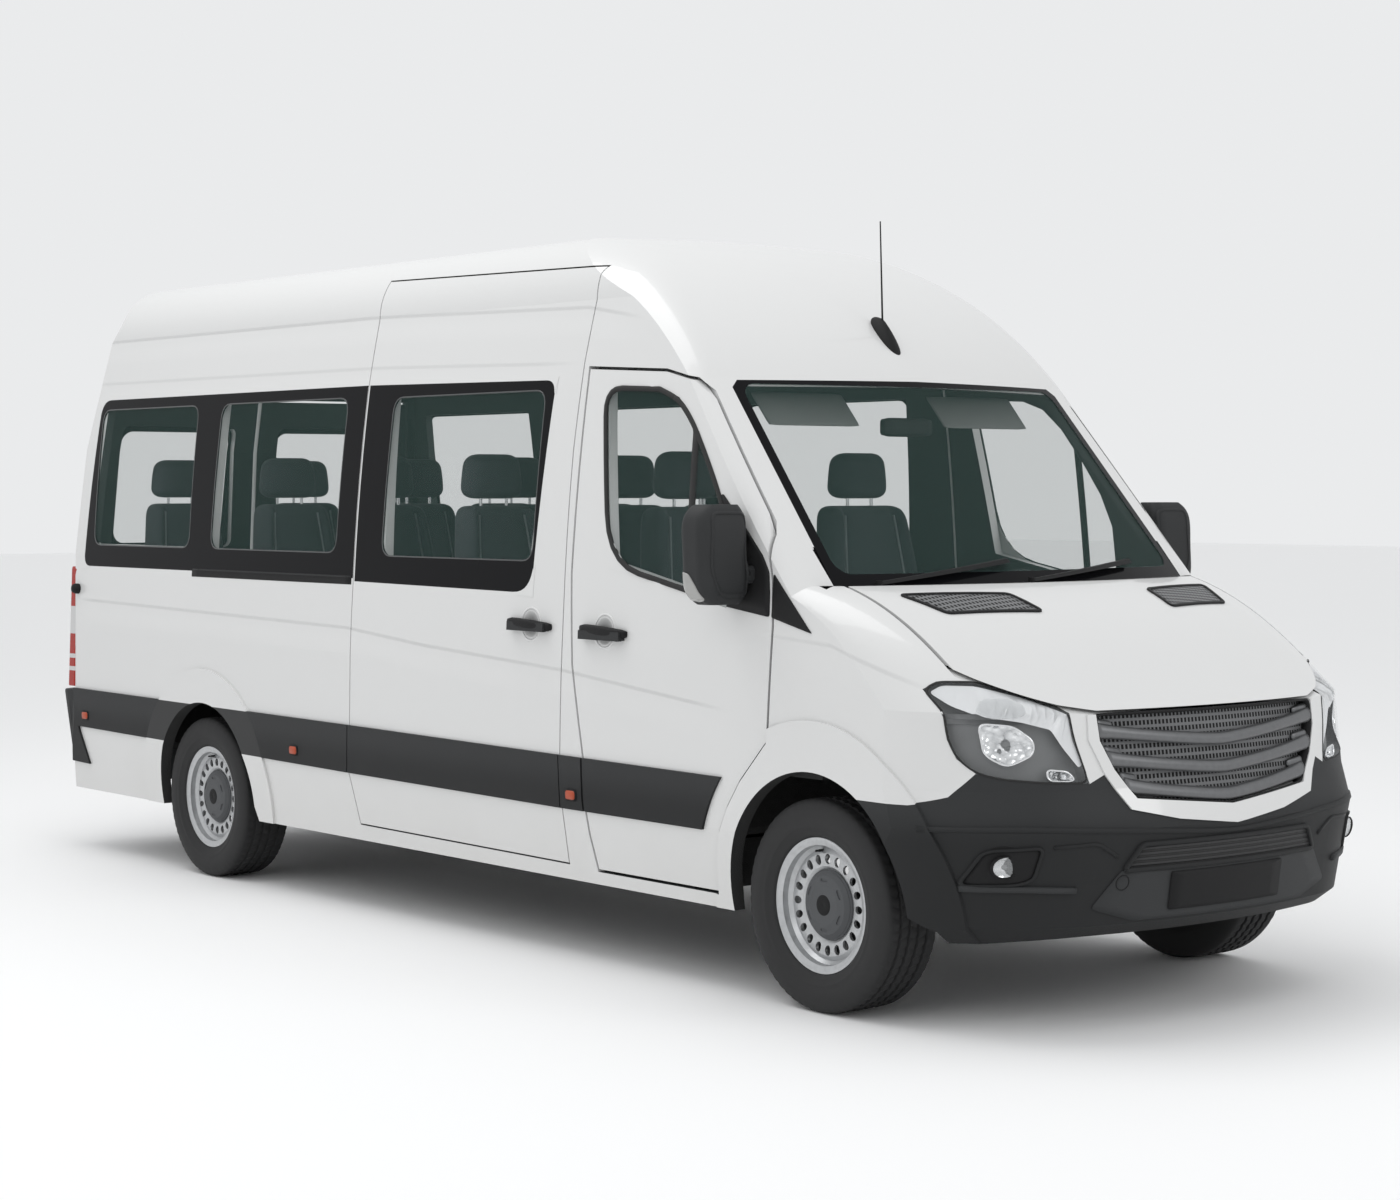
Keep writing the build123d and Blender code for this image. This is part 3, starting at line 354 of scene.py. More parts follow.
def make_cloth(name, colour):
    """Woven seat cloth: crossing threads over a soft mottle."""
    finish = Finish(name, Roughness=0.92, Sheen_Weight=0.12, Sheen_Roughness=0.5)
    x, y, z = finish.place()
    threads = wave(x + z, 0.0036) * wave(y, 0.0036)
    mottle = finish.noise(38.0, 4.0)
    finish.blend(threads * 0.3 + mottle * 0.5, colour, tinted(colour, 1.5))
    finish.relief(threads, 0.0003, 0.35)
    return finish.material


def make_window(name, colours, panes, across=False):
    """Window glass, black outside every clear pane.

    panes: rows of (middle u, middle z, half u, half z, corner radius, lean of u with z), where u
    is the distance from the middle for panes that lie across the part, and x for the others.
    """
    finish = Finish(name, Specular_IOR_Level=0.07)
    x, y, z = finish.place()
    along = abs(y) if across else x
    outside = None
    for middle, height, half, half_height, radius, lean in panes:
        v = z - height
        u = along - middle - v * lean
        distance = rounded_box(u, v, half, half_height, radius)
        outside = distance if outside is None else outside.least(distance)
    black = outside.step(-0.001, 0.001)
    finish.blend(black, tuple(colours.glass), (0.006, 0.006, 0.007))
    finish.set(Alpha=black * (1.0 - colours.glass_density) + colours.glass_density)
    finish.set(Roughness=black * 0.10 + 0.03 + finish.noise(3.0, 3.0) * 0.02)
    return finish.material


def make_lens(name, colour, density, ribs=0.0):
    """Clear or coloured lamp lens, with moulded ribs inside where ribs is their pitch."""
    finish = Finish(name, Roughness=0.05, Coat_Weight=0.3, Coat_Roughness=0.02)
    _, y, z = finish.place()
    haze = finish.noise(30.0, 3.0)
    finish.blend(haze * 0.3, colour, tinted(colour, 0.8))
    finish.set(Alpha=haze * 0.04 + density)
    if ribs:
        finish.relief(wave(y, ribs) * 0.7 + wave(z, ribs * 1.6) * 0.3, 0.0015, 0.6)
    return finish.material


def make_mesh_plate(name, level=False):
    """Black plate with rows of small upright holes, painted near black as the shade behind them and
    sunk by a bump.
    """
    finish = Finish(name)
    x, y, z = finish.place()
    up = x if level else z
    bars = wave(y, 0.016).step(0.30, 0.55) * wave(up, 0.024).step(0.25, 0.5)
    edge = finish.noise(50.0, 2.0)
    # Painted shade: where bars is 1 lies a hole, coloured near black for the shade behind the
    # plate; the struts between stay dark grey.
    finish.blend(bars, (0.16, 0.163, 0.168), (0.001, 0.001, 0.001))
    finish.set(Roughness=bars * 0.35 + 0.45 + edge * 0.05)
    finish.relief(1.0 - bars, 0.004, 0.9)
    return finish.material


def make_slats(name):
    """Black slats, one above the other, with painted shade making the gaps between them near black.
    """
    finish = Finish(name)
    slat = wave(finish.place()[2], 0.0165).step(0.2, 0.7)
    # Painted shade: the gaps between the slats are near black.
    finish.blend(slat, (0.002, 0.002, 0.002), (0.020, 0.020, 0.021))
    finish.set(Roughness=finish.noise(80.0, 2.0) * 0.15 + 0.5)
    finish.relief(slat, 0.006, 1.0)
    return finish.material


def make_tail_lens(name):
    """Tall tail lamp: red, with three clear fields part of the way up."""
    finish = Finish(
        name, Roughness=0.16, Specular_IOR_Level=0.3, Coat_Weight=0.25, Coat_Roughness=0.03)
    z = finish.place()[2]
    clear = 0.0
    for low, high, fade in CLEAR_FIELDS:
        clear = z.step(low, low + fade) * (1.0 - z.step(high, high + fade)) + clear
    finish.blend(clear, (0.33, 0.014, 0.008), (0.55, 0.55, 0.55))
    ribs = wave(z, 0.009) * 0.6 + finish.noise(40.0, 2.0) * 0.2
    finish.relief(ribs, 0.0012, 0.5)
    return finish.material


def make_cup(name, colours):
    """Paint of a handle's round cup, shaded as a hollow: painted shade darkens it towards the
    middle, and a bump sinks it.
    """
    finish = Finish(name, Roughness=0.34, Coat_Weight=0.5, Coat_Roughness=0.08)
    x, _, z = finish.place()
    ahead = x - front_axle
    nearest = None
    for middle, height in CUPS.values():
        u = ahead - middle
        v = z - height
        away = (u * u + v * v) ** 0.5
        nearest = away if nearest is None else nearest.least(away)
    hollow = nearest.step(0.0, CUP_RADIUS)
    # Painted shade: the colour darkens towards the cup's middle.
    finish.blend(hollow * 0.7 + 0.1, tinted(colours.body, 0.62), tuple(colours.body))
    finish.relief(hollow, 0.03, 0.8)
    return finish.material


def make_ribbed_reflector(name):
    """Bright bowl with moulded facets, each painted darker towards its edges as shade."""
    finish = Finish(name, Metallic=1.0)
    facet = finish.cells(46.0)
    # Painted shade: the colour darkens from each facet's middle towards its edges.
    finish.blend(facet, (0.94, 0.95, 0.96), (0.45, 0.46, 0.47))
    finish.set(Roughness=facet * 0.2 + 0.08)
    finish.relief(facet, 0.008, 0.8)
    return finish.material


materials = {}


def make_materials(colours):
    trim = tuple(colours.trim)
    materials.update(
        paint=make_paint(colours),
        roof_lining=make_lining("roof_lining", (0.30, 0.31, 0.31)),
        side_lining=make_lining("side_lining", (0.045, 0.052, 0.052)),
        carpet=make_lining("floor_covering", (0.045, 0.047, 0.05), 0.7),
        # The bumpers' and rub strips' plastic carries painted shade low down (low=0.45).
        trim=make_grained("grained_trim", trim, low=0.45),
        trim_dark=make_grained("dark_trim", (0.009, 0.009, 0.0095), 0.6),
        blade=make_metal("grille_blade", (0.17, 0.173, 0.178), 0.36, 0.6),
        dash=make_grained("dashboard_skin", (0.022, 0.023, 0.025), 0.6, 900.0, 0.0005),
        gloss_black=make_gloss("gloss_black", (0.010, 0.010, 0.011)),
        amber=make_gloss("amber_marker", (0.40, 0.045, 0.002), 0.45),
        red=make_lens("red_lens", (0.42, 0.012, 0.012), 0.97, 0.008),
        lens=make_lens("clear_lens", (0.72, 0.75, 0.76), 0.05),
        fluted=make_lens("fluted_lens", (0.62, 0.64, 0.65), 0.30, 0.012),
        indicator=make_lens("indicator_lens", (0.36, 0.36, 0.35), 0.96, 0.010),
        reflector=make_metal("lamp_reflector", (0.86, 0.87, 0.88), 0.12, 1.0),
        bezel=make_metal("lamp_bezel", (0.17, 0.175, 0.178), 0.45, 0.2),
        rim=make_metal("silver_wheel_paint", (0.56, 0.57, 0.58), 0.33, 0.75),
        hub_cap=make_grained("hub_cap_plastic", (0.075, 0.078, 0.082), 0.45),
        iron=make_metal("dark_iron", (0.07, 0.07, 0.072), 0.55, 0.6),
        underside=make_grained("underbody_coat", (0.028, 0.028, 0.028), 0.8, 300.0, 0.002),
        tyre=make_rubber("tyre_rubber"),
        seal=make_rubber("seal_rubber", (0.010, 0.010, 0.010)),
        cloth=make_cloth("seat_cloth", tuple(colours.cloth)),
        piping=make_cloth("seat_piping", (0.20, 0.21, 0.22)),
        mirror=make_metal("mirror_glass", (0.75, 0.78, 0.80), 0.07, 1.0),
        side_window=make_window("side_window", colours, SIDE_PANES),
        door_window=make_window("door_window", colours, DOOR_PANES),
        screen_window=make_window("screen_window", colours, SCREEN_PANES, across=True),
        rear_window=make_window("rear_window", colours, REAR_PANES, across=True),
        grille_plate=make_mesh_plate("grille_plate"),
        vent_mesh=make_mesh_plate("vent_mesh", level=True),
        slats=make_slats("intake_slats"),
        tail_lens=make_tail_lens("tail_lens"),
        cup=make_cup("handle_cup", colours),
        reflector_ribs=make_ribbed_reflector("faceted_reflector"),
        lamp_band=make_gloss("lamp_band", (0.70, 0.71, 0.72), 0.25),
        trim_pale=make_grained("pale_trim", tinted(trim, 1.2)),
        pane_edge=make_gloss("pane_edge", (0.030, 0.034, 0.035), 0.3),
        visor=make_lining("sun_visor", (0.20, 0.205, 0.20)),
    )


def pane_row(rear, front, low, high, radius, lean=0.0):
    """A clear pane between two places ahead and two heights."""
    return (
        front_axle + (rear + front) / 2, (low + high) / 2, (front - rear) / 2,
        (high - low) / 2, radius, lean,
    )


SIDE_PANES = (
    pane_row(-2.628, -1.585, 1.440, 2.068, 0.065),
    pane_row(-4.036, -2.978, 1.446, 2.076, 0.065),
    pane_row(-5.172, -4.240, 1.446, 2.076, 0.065, -0.03),
)
DOOR_PANES = (pane_row(-1.50, -0.10, 1.20, 2.30, 0.02),)
SCREEN_PANES = ((0.0, 1.745, 0.778, 0.322, 0.05, -0.075),)
REAR_PANES = ((0.445, 1.715, 0.300, 0.268, 0.06, -0.06),)


# ------------------------------------------------------------- mesh helpers
def in_scene(name, data):
    """A new object in the scene."""
    made = bpy.data.objects.new(name, data)
    bpy.context.scene.collection.objects.link(made)
    return made


def add_piece(name, points, faces, body, material, smooth=True):
    """A mesh piece that rides on a body."""
    mesh = bpy.data.meshes.new(name)
    mesh.from_pydata([tuple(p) for p in points], [], faces)
    mesh.validate()
    mesh.update()
    if smooth:
        mesh.shade_smooth()
    piece = in_scene(name, mesh)
    mesh.materials.append(materials[material])
    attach(piece, body)
    return piece


def add_solid(name, points, faces, body, material, smooth=True):
    """A closed piece, its faces made to look outward."""
    piece = add_piece(name, points, faces, body, material, smooth)
    made = bmesh.new()
    made.from_mesh(piece.data)
    bmesh.ops.remove_doubles(made, verts=made.verts, dist=1e-6)
    bmesh.ops.recalc_face_normals(made, faces=made.faces)
    made.to_mesh(piece.data)
    made.free()
    return piece


def taken_apart(made):
    """Points and faces of a bmesh, which is then freed."""
    made.verts.index_update()
    points = [vert.co.copy() for vert in made.verts]
    faces = [[vert.index for vert in face.verts] for face in made.faces]
    made.free()
    return points, faces


def tube_faces(count, levels):
    """Faces between rings of count points, each ring following the one before."""
    faces = []
    for level in range(levels - 1):
        for i in range(count):
            a = level * count + i
            b = level * count + (i + 1) % count
            faces.append((a, b, b + count, a + count))
    return faces


def sheet_faces(rows, columns):
    """Faces of a grid of points, one row following another."""
    return [
        (a, a + 1, a + columns + 1, a + columns)
        for i in range(rows - 1) for a in range(i * columns, (i + 1) * columns - 1)
    ]


def turned_faces(count, rows):
    """Faces of a profile of rows points that is repeated count times round an axis."""
    faces = []
    for i in range(count):
        a, b = i * rows, (i + 1) % count * rows
        faces += [(a + k, a + k + 1, b + k + 1, b + k) for k in range(rows - 1)]
    return faces


def spun(profile, origin, axis, count):
    """Points and faces of a profile of (along, radius) turned about an axis."""
    axis = Vector(axis).normalized()
    side = axis.orthogonal().normalized()
    other = axis.cross(side)
    points = []
    for i in range(count):
        turn = 2 * math.pi * i / count
        ray = side * math.cos(turn) + other * math.sin(turn)
        points += [Vector(origin) + axis * along + ray * radius for along, radius in profile]
    return points, turned_faces(count, len(profile))


def rounded_block(low, high, radius, cuts):
    """Points and faces of a box with round edges, even enough to bend."""
    half = [(b - a) / 2 for a, b in zip(low, high)]
    middle = [(b + a) / 2 for a, b in zip(low, high)]
    inner = [max(h - radius, 0.0) for h in half]
    made = bmesh.new()
    bmesh.ops.create_cube(made, size=2.0)
    bmesh.ops.subdivide_edges(made, edges=made.edges, cuts=cuts, use_grid_fill=True)
    for vert in made.verts:
        spot = Vector([vert.co[k] * half[k] for k in range(3)])
        core = Vector([held(spot[k], -inner[k], inner[k]) for k in range(3)])
        out = spot - core
        if out.length > 1e-9:
            spot = core + out.normalized() * radius
        vert.co = Vector(middle) + spot
    return taken_apart(made)


def curve(start, corner, end, steps):
    """Points from start to end along a bend that the corner pulls outward."""
    shares = [k / steps for k in range(steps + 1)]
    return [start * (1 - t) ** 2 + corner * 2 * t * (1 - t) + end * t ** 2 for t in shares]


def rounded(outline, radius, closed=True):
    """Outline with its corners rounded off."""
    count = len(outline)
    points = []
    for i, here in enumerate(outline):
        here = Vector(here)
        if not closed and i in (0, count - 1):
            points.append(here)
            continue
        back = Vector(outline[i - 1]) - here
        on = Vector(outline[(i + 1) % count]) - here
        cut = min(radius, back.length * 0.48, on.length * 0.48)
        points += curve(here + back.normalized() * cut, here, here + on.normalized() * cut, 5)
    return points


def spaced(outline, gap, closed=True):
    """Outline with points put in so that none lie further apart than gap."""
    points = []
    for a, b in zip(outline, outline[1:] + outline[:1] if closed else outline[1:]):
        count = max(1, math.ceil((b - a).length / gap))
        points += [a.lerp(b, k / count) for k in range(count)]
    if not closed:
        points.append(outline[-1])
    return points


def middle_of(path):
    """Mean of an outline's points."""
    return sum(path, Vector((0, 0))) / len(path)


def ring_points(u, v, radius, count):
    """Round outline about a point."""
    turns = [2 * math.pi / count * i for i in range(count)]
    return [(u + radius * math.cos(turn), v + radius * math.sin(turn)) for turn in turns]


def box_outline(low_u, high_u, low_v, high_v):
    """Outline of an upright rectangle."""
    return ((low_u, low_v), (high_u, low_v), (high_u, high_v), (low_u, high_v))


# ------------------------------------------------- laying trim on the CAD's skins
skins = {}


def search_tree(names, points=(), faces=()):
    """Search tree over the named CAD nodes and any faces given besides."""
    points, faces = list(points), list(faces)
    for name in names:
        mesh = nodes[name].data
        start = len(points)
        points += [v.co.copy() for v in mesh.vertices]
        faces += [[start + i for i in face.vertices] for face in mesh.polygons]
    return BVHTree.FromPolygons(points, faces)


def skin_of(*names):
    """Search tree over the named CAD nodes, for laying trim on them."""
    if names not in skins:
        skins[names] = search_tree(names)
    return skins[names]


# Views that an outline is drawn in: where its point (u, v) starts, and the way in.
VIEWS = {
    "right": (lambda u, v: Vector((u, -3.0, v)), Vector((0, 1, 0))),
    "left": (lambda u, v: Vector((u, 3.0, v)), Vector((0, -1, 0))),
    "front": (lambda u, v: Vector((6.0, u, v)), Vector((-1, 0, 0))),
    "rear": (lambda u, v: Vector((-6.0, u, v)), Vector((1, 0, 0))),
    "top": (lambda u, v: Vector((u, v, 5.0)), Vector((0, 0, -1))),
}


# Rays that look for a skin near a point that misses it: rings of eight, this far apart.
SEARCH_RINGS = 5
SEARCH_STEP = 0.003
PATCH_SINK = 0.003  # how far a patch's foot reaches into the skin


class Bed:
    """A skin to lay trim on, with the view its outlines are drawn in and the trim's body.

    Outlines hold (ahead, height) in the side views, (ahead, across) from the top, and
    (across, height) from the front and rear. Ahead counts from the front axle, and across
    from the middle towards the given hand: 1 is the left.
    """

    def __init__(self, view, skin, body, hand=1):
        self.view = view
        self.skin = skin
        self.body = body
        self.hand = hand

    def place(self, first, second):
        """An outline's point in the frame's metres."""
        if self.view in ("front", "rear"):
            return self.hand * first, second
        return front_axle + first, second * (self.hand if self.view == "top" else 1)

    def path(self, outline, radius, gap, closed=True):
        """Outline in the frame's metres, rounded and evenly spaced."""
        placed = [self.place(*spot) for spot in outline]
        return spaced(rounded(placed, radius, closed), gap, closed)

    def lay(self, u, v):
        """Point and outward normal where a point of the view meets the skin or its edge."""
        start, way = VIEWS[self.view]
        origin = start(u, v)
        for step in range(1 + 8 * SEARCH_RINGS):
            reach = SEARCH_STEP * math.ceil(step / 8)
            turn = math.pi / 4 * step
            aside = start(u + reach * math.cos(turn), v + reach * math.sin(turn))
            hit, normal, _, _ = self.skin.ray_cast(aside, way)
            if hit is not None:
                break
        else:
            hit, normal, _, _ = self.skin.find_nearest(origin)
        if normal.dot(way) > 0:
            normal = -normal
        return origin + way * (hit - origin).dot(way), normal

    def strip(self, name, outline, width, rise, material, slot,
              closed=True, radius=0.02, gap=0.05, sink=0.002):
        """A raised strip that follows an outline over the skin."""
        path = self.path(outline, radius, gap, closed)
        count = len(path)
        points = []
        for i, here in enumerate(path):
            before = path[i - 1] if (closed or i > 0) else here
            after = path[(i + 1) % count] if (closed or i < count - 1) else here
            along = (after - before).normalized()
            across = Vector((-along.y, along.x))
            for share, height in ((-0.5, -sink), (-0.42, rise), (0.42, rise), (0.5, -sink)):
                spot = here + across * (share * width)
                point, normal = self.lay(spot.x, spot.y)
                points.append(point + normal * height)
        faces = []
        for i in range(count if closed else count - 1):
            a, b = i * 4, (i + 1) % count * 4
            faces += [(a + k, b + k, b + k + 1, a + k + 1) for k in range(3)]
        if not closed:
            faces += [(3, 2, 1, 0), tuple((count - 1) * 4 + k for k in range(4))]
        return add_solid(name, points, faces, self.body, material)

    def patch(self, name, outline, rise, material, slot,
              radius=0.02, rings=4, dome=0.0, gap=0.04):
        """A raised plate that covers an outline on the skin, domed towards its middle."""
        path = self.path(outline, radius, gap)
        middle = middle_of(path)
        count = len(path)
        shares = [1 - k / rings for k in range(1, rings)]
        levels = [(1.0, -PATCH_SINK), (1.0, rise)]
        levels += [(share, rise + dome * (1 - share ** 2)) for share in shares]
        points = []
        for share, height in levels:
            for here in path:
                spot = middle + (here - middle) * share
                point, normal = self.lay(spot.x, spot.y)
                points.append(point + normal * height)
        point, normal = self.lay(middle.x, middle.y)
        points.append(point + normal * (rise + dome))
        faces = tube_faces(count, len(levels))
        last = (len(levels) - 1) * count
        faces += [(last + i, last + (i + 1) % count, len(points) - 1) for i in range(count)]
        faces.append(tuple(range(count - 1, -1, -1)))
        return add_solid(name, points, faces, self.body, material)

    def corner_fill(self, name, corner, back, on, radius):
        """Fills a sharp corner out to a round one, as a thin white piece lying on the skin."""
        corner, back, on = (Vector(self.place(*spot)) for spot in (corner, back, on))
        start = corner + (back - corner).normalized() * radius
        end = corner + (on - corner).normalized() * radius
        arc = curve(start, corner, end, 8)
        overlap = (corner - (start + end) / 2).normalized() * 0.015
        sink, rise = 0.002, 0.0012
        points = []
        for spot in [corner + overlap * 1.3, arc[0] + overlap] + arc + [arc[-1] + overlap]:
            point, normal = self.lay(spot.x, spot.y)
            points += [point - normal * sink, point + normal * rise]
        faces = []
        count = len(points) // 2
        for i in range(1, count - 1):
            faces += [(1, 2 * i + 1, 2 * i + 3), (0, 2 * i + 2, 2 * i)]
        for i in range(count):
            j = (i + 1) % count
            faces.append((2 * i, 2 * j, 2 * j + 1, 2 * i + 1))
        add_solid(name, points, faces, self.body, "paint", smooth=False)


def finish_nodes(names, *layers):
    """Gives CAD nodes their finishes: (material, test of a face's centre and normal)."""
    for name in names:
        mesh = nodes[name].data
        mesh.materials.clear()
        for material, _ in layers:
            mesh.materials.append(materials[material])
        for face in mesh.polygons:
            for index, (_, test) in enumerate(layers):
                if test is None or test(face.center, face.normal):
                    face.material_index = index
                    break


def held(value, low, high):
    """The value, kept between two others."""
    return max(low, min(high, value))


def faces_in(centre, normal):
    """True for a face that looks into the body, at the nearest place in the cabin's heart."""
    middle = Vector((held(centre.x, -2.6, 1.2), 0.0, held(centre.z, 1.0, 1.7)))
    return normal.dot((centre - middle).normalized()) < -0.25


ARCH_REACH = 0.48


def in_arch(centre, normal):
    """Whether a face on the edge of a wheel opening looks at its wheel."""
    for axle in (front_axle, rear_axle):
        away = Vector((centre.x - axle, 0, centre.z - wheel_height))
        if away.length < ARCH_REACH and normal.dot(away) < -0.5 * away.length:
            return True
    return False


class Dressing(bpy.types.Operator):
    """Shared start of the dressing steps"""

    bl_options = {"REGISTER", "UNDO"}

    def execute(self, context):
        self.dress(context.scene.minibus_sizes)
        return {"FINISHED"}


class MINIBUS_OT_panels(Dressing):
    """Paints the panels and lines their insides"""

    bl_idname = "minibus.panels"
    bl_label = "Painted panels"

    def dress(self, sizes):
        sides = (
            "body_side_right", "body_side_left", "sliding_door", "front_wings",
            "door_front_right", "door_front_left", "door_rear_right", "door_rear_left",
        )
        for names, lining in ((("roof",), "roof_lining"), (sides, "side_lining")):
            finish_nodes(names, ("underside", in_arch), (lining, faces_in), ("paint", None))
        finish_nodes(("bonnet", "grille_surround"), ("paint", None))


class MINIBUS_OT_trim(Dressing):
    """Finishes bumpers, rub strips and other plastic"""

    bl_idname = "minibus.trim"
    bl_label = "Plastic trim"

    def dress(self, sizes):
        bumpers = ("front_bumper", "rear_bumper", "rub_strips")
        finish_nodes((*bumpers, "door_trim_right", "door_trim_left"), ("trim", None))
        finish_nodes(("roof_antenna", "wipers", "steering_wheel", "grille"), ("trim_dark", None))
        finish_nodes(("dashboard",), ("dash", None))
        shelf = ("gloss_black", lambda centre, normal: centre.z > 1.3 and normal.z > 0.2)
        finish_nodes(("firewall",), shelf, ("underside", None))


class MINIBUS_OT_underside(Dressing):
    """Finishes floor, chassis, axles and engine"""

    bl_idname = "minibus.underside"
    bl_label = "Underside"

    def dress(self, sizes):
        carpet = ("carpet", lambda centre, normal: normal.z > 0.5)
        finish_nodes(("floor_pan",), carpet, ("underside", None))
        finish_nodes(("chassis",), ("underside", None))
        finish_nodes(("seat_frames",), ("dash", None))
        finish_nodes(("engine", "rear_axle", "knuckle_right", "knuckle_left"), ("iron", None))


class MINIBUS_OT_windows(Dressing):
    """Glazes the windows"""

    bl_idname = "minibus.windows"
    bl_label = "Windows"

    def dress(self, sizes):
        finish_nodes(("side_glass",), ("side_window", None))
        finish_nodes(("windscreen",), ("screen_window", None))
        for side in SIDES:
            finish_nodes((f"door_glass_{side}",), ("door_window", None))
            finish_nodes((f"door_glass_rear_{side}",), ("rear_window", None))


# Bands of side glass and the front door's window, as (ahead, height).
REAR_BAND = ((-2.836, 2.122), (-5.205, 2.122), (-5.258, 1.346), (-2.836, 1.346))
SLIDE_BAND = ((-2.824, 2.122), (-1.528, 2.103), (-1.581, 1.322), (-2.822, 1.334))
DOOR_WINDOW = (
    (-1.216, 2.066), (-0.900, 2.052), (-0.780, 2.012), (-0.690, 1.932), (-0.590, 1.800),
    (-0.510, 1.680), (-0.452, 1.560), (-0.440, 1.318), (-0.736, 1.372), (-1.112, 1.440),
)


class MINIBUS_OT_window_trim(Dressing):
    """Adds the round corners, seals, rail and divider of the side windows"""

    bl_idname = "minibus.window_trim"
    bl_label = "Window trim"

    def dress(self, sizes):
        for side in SIDES:
            shell = Bed(side, skin_of(f"body_side_{side}", "sliding_door", "side_glass"), "body")
            for place, band, at, radius in (
                ("rear_high", REAR_BAND, 1, 0.085), ("rear_low", REAR_BAND, 2, 0.060),
                ("slide_high", SLIDE_BAND, 1, 0.060), ("slide_low", SLIDE_BAND, 2, 0.115),
            ):
                shell.corner_fill(f"window_corner_{place}_{side}", band[at], band[at - 1],
                                  band[at + 1], radius)
            self.pane_edges(side)
            self.door_window(side, sizes.seal_width)
            if side == "right":
                groove = ((-4.190, 1.338), (-2.846, 1.338))
                shell.strip("slide_rail_groove", groove, 0.040, 0.0015, "trim_dark",
                            "black_trim", closed=False)
                lip = ((-4.180, 1.350), (-2.850, 1.350))
                shell.strip("slide_rail_lip", lip, 0.010, 0.006, "trim", "black_trim",
                            closed=False)

    def pane_edges(self, side):
        """Bright edge of each clear pane."""
        glass = Bed(side, skin_of("side_glass"), "body")
        for number, (middle, height, half, half_height, radius, lean) in enumerate(SIDE_PANES):
            outline = [
                (middle - front_axle + u * half + v * half_height * lean, height + v * half_height)
                for u, v in box_outline(-1, 1, -1, 1)
            ]
            glass.strip(f"pane_edge_{number}_{side}", outline, 0.006, 0.0008, "pane_edge",
                        "dark_trim", radius=radius, sink=0.001)

    def door_window(self, side, seal_width):
        """Seal of the front door's window, its round rear corners and the bar in it."""
        body = f"door_front_{side}"
        door = Bed(side, skin_of(body, f"door_glass_{side}"), body)
        window = DOOR_WINDOW
        last = len(window) - 1
        for place, at, radius in (("high", 0, 0.10), ("low", last, 0.22)):
            door.corner_fill(f"door_corner_{place}_{side}", window[at], window[at - 1],
                             window[(at + 1) % len(window)], radius)
        eased = rounded([window[last], window[0], window[1]], 0.10, closed=False)
        path = rounded([eased[-1], *window[2:], eased[1]], 0.20, closed=False)
        door.strip(f"door_window_seal_{side}", eased[1:-1] + path[:-1], seal_width, 0.005, "seal",
                   "black_trim", radius=0.004)
        bar = ((-0.668, 1.900), (-0.650, 1.372))
        door.strip(f"door_window_bar_{side}", bar, 0.034, 0.003, "seal", "black_trim",
                   closed=False)


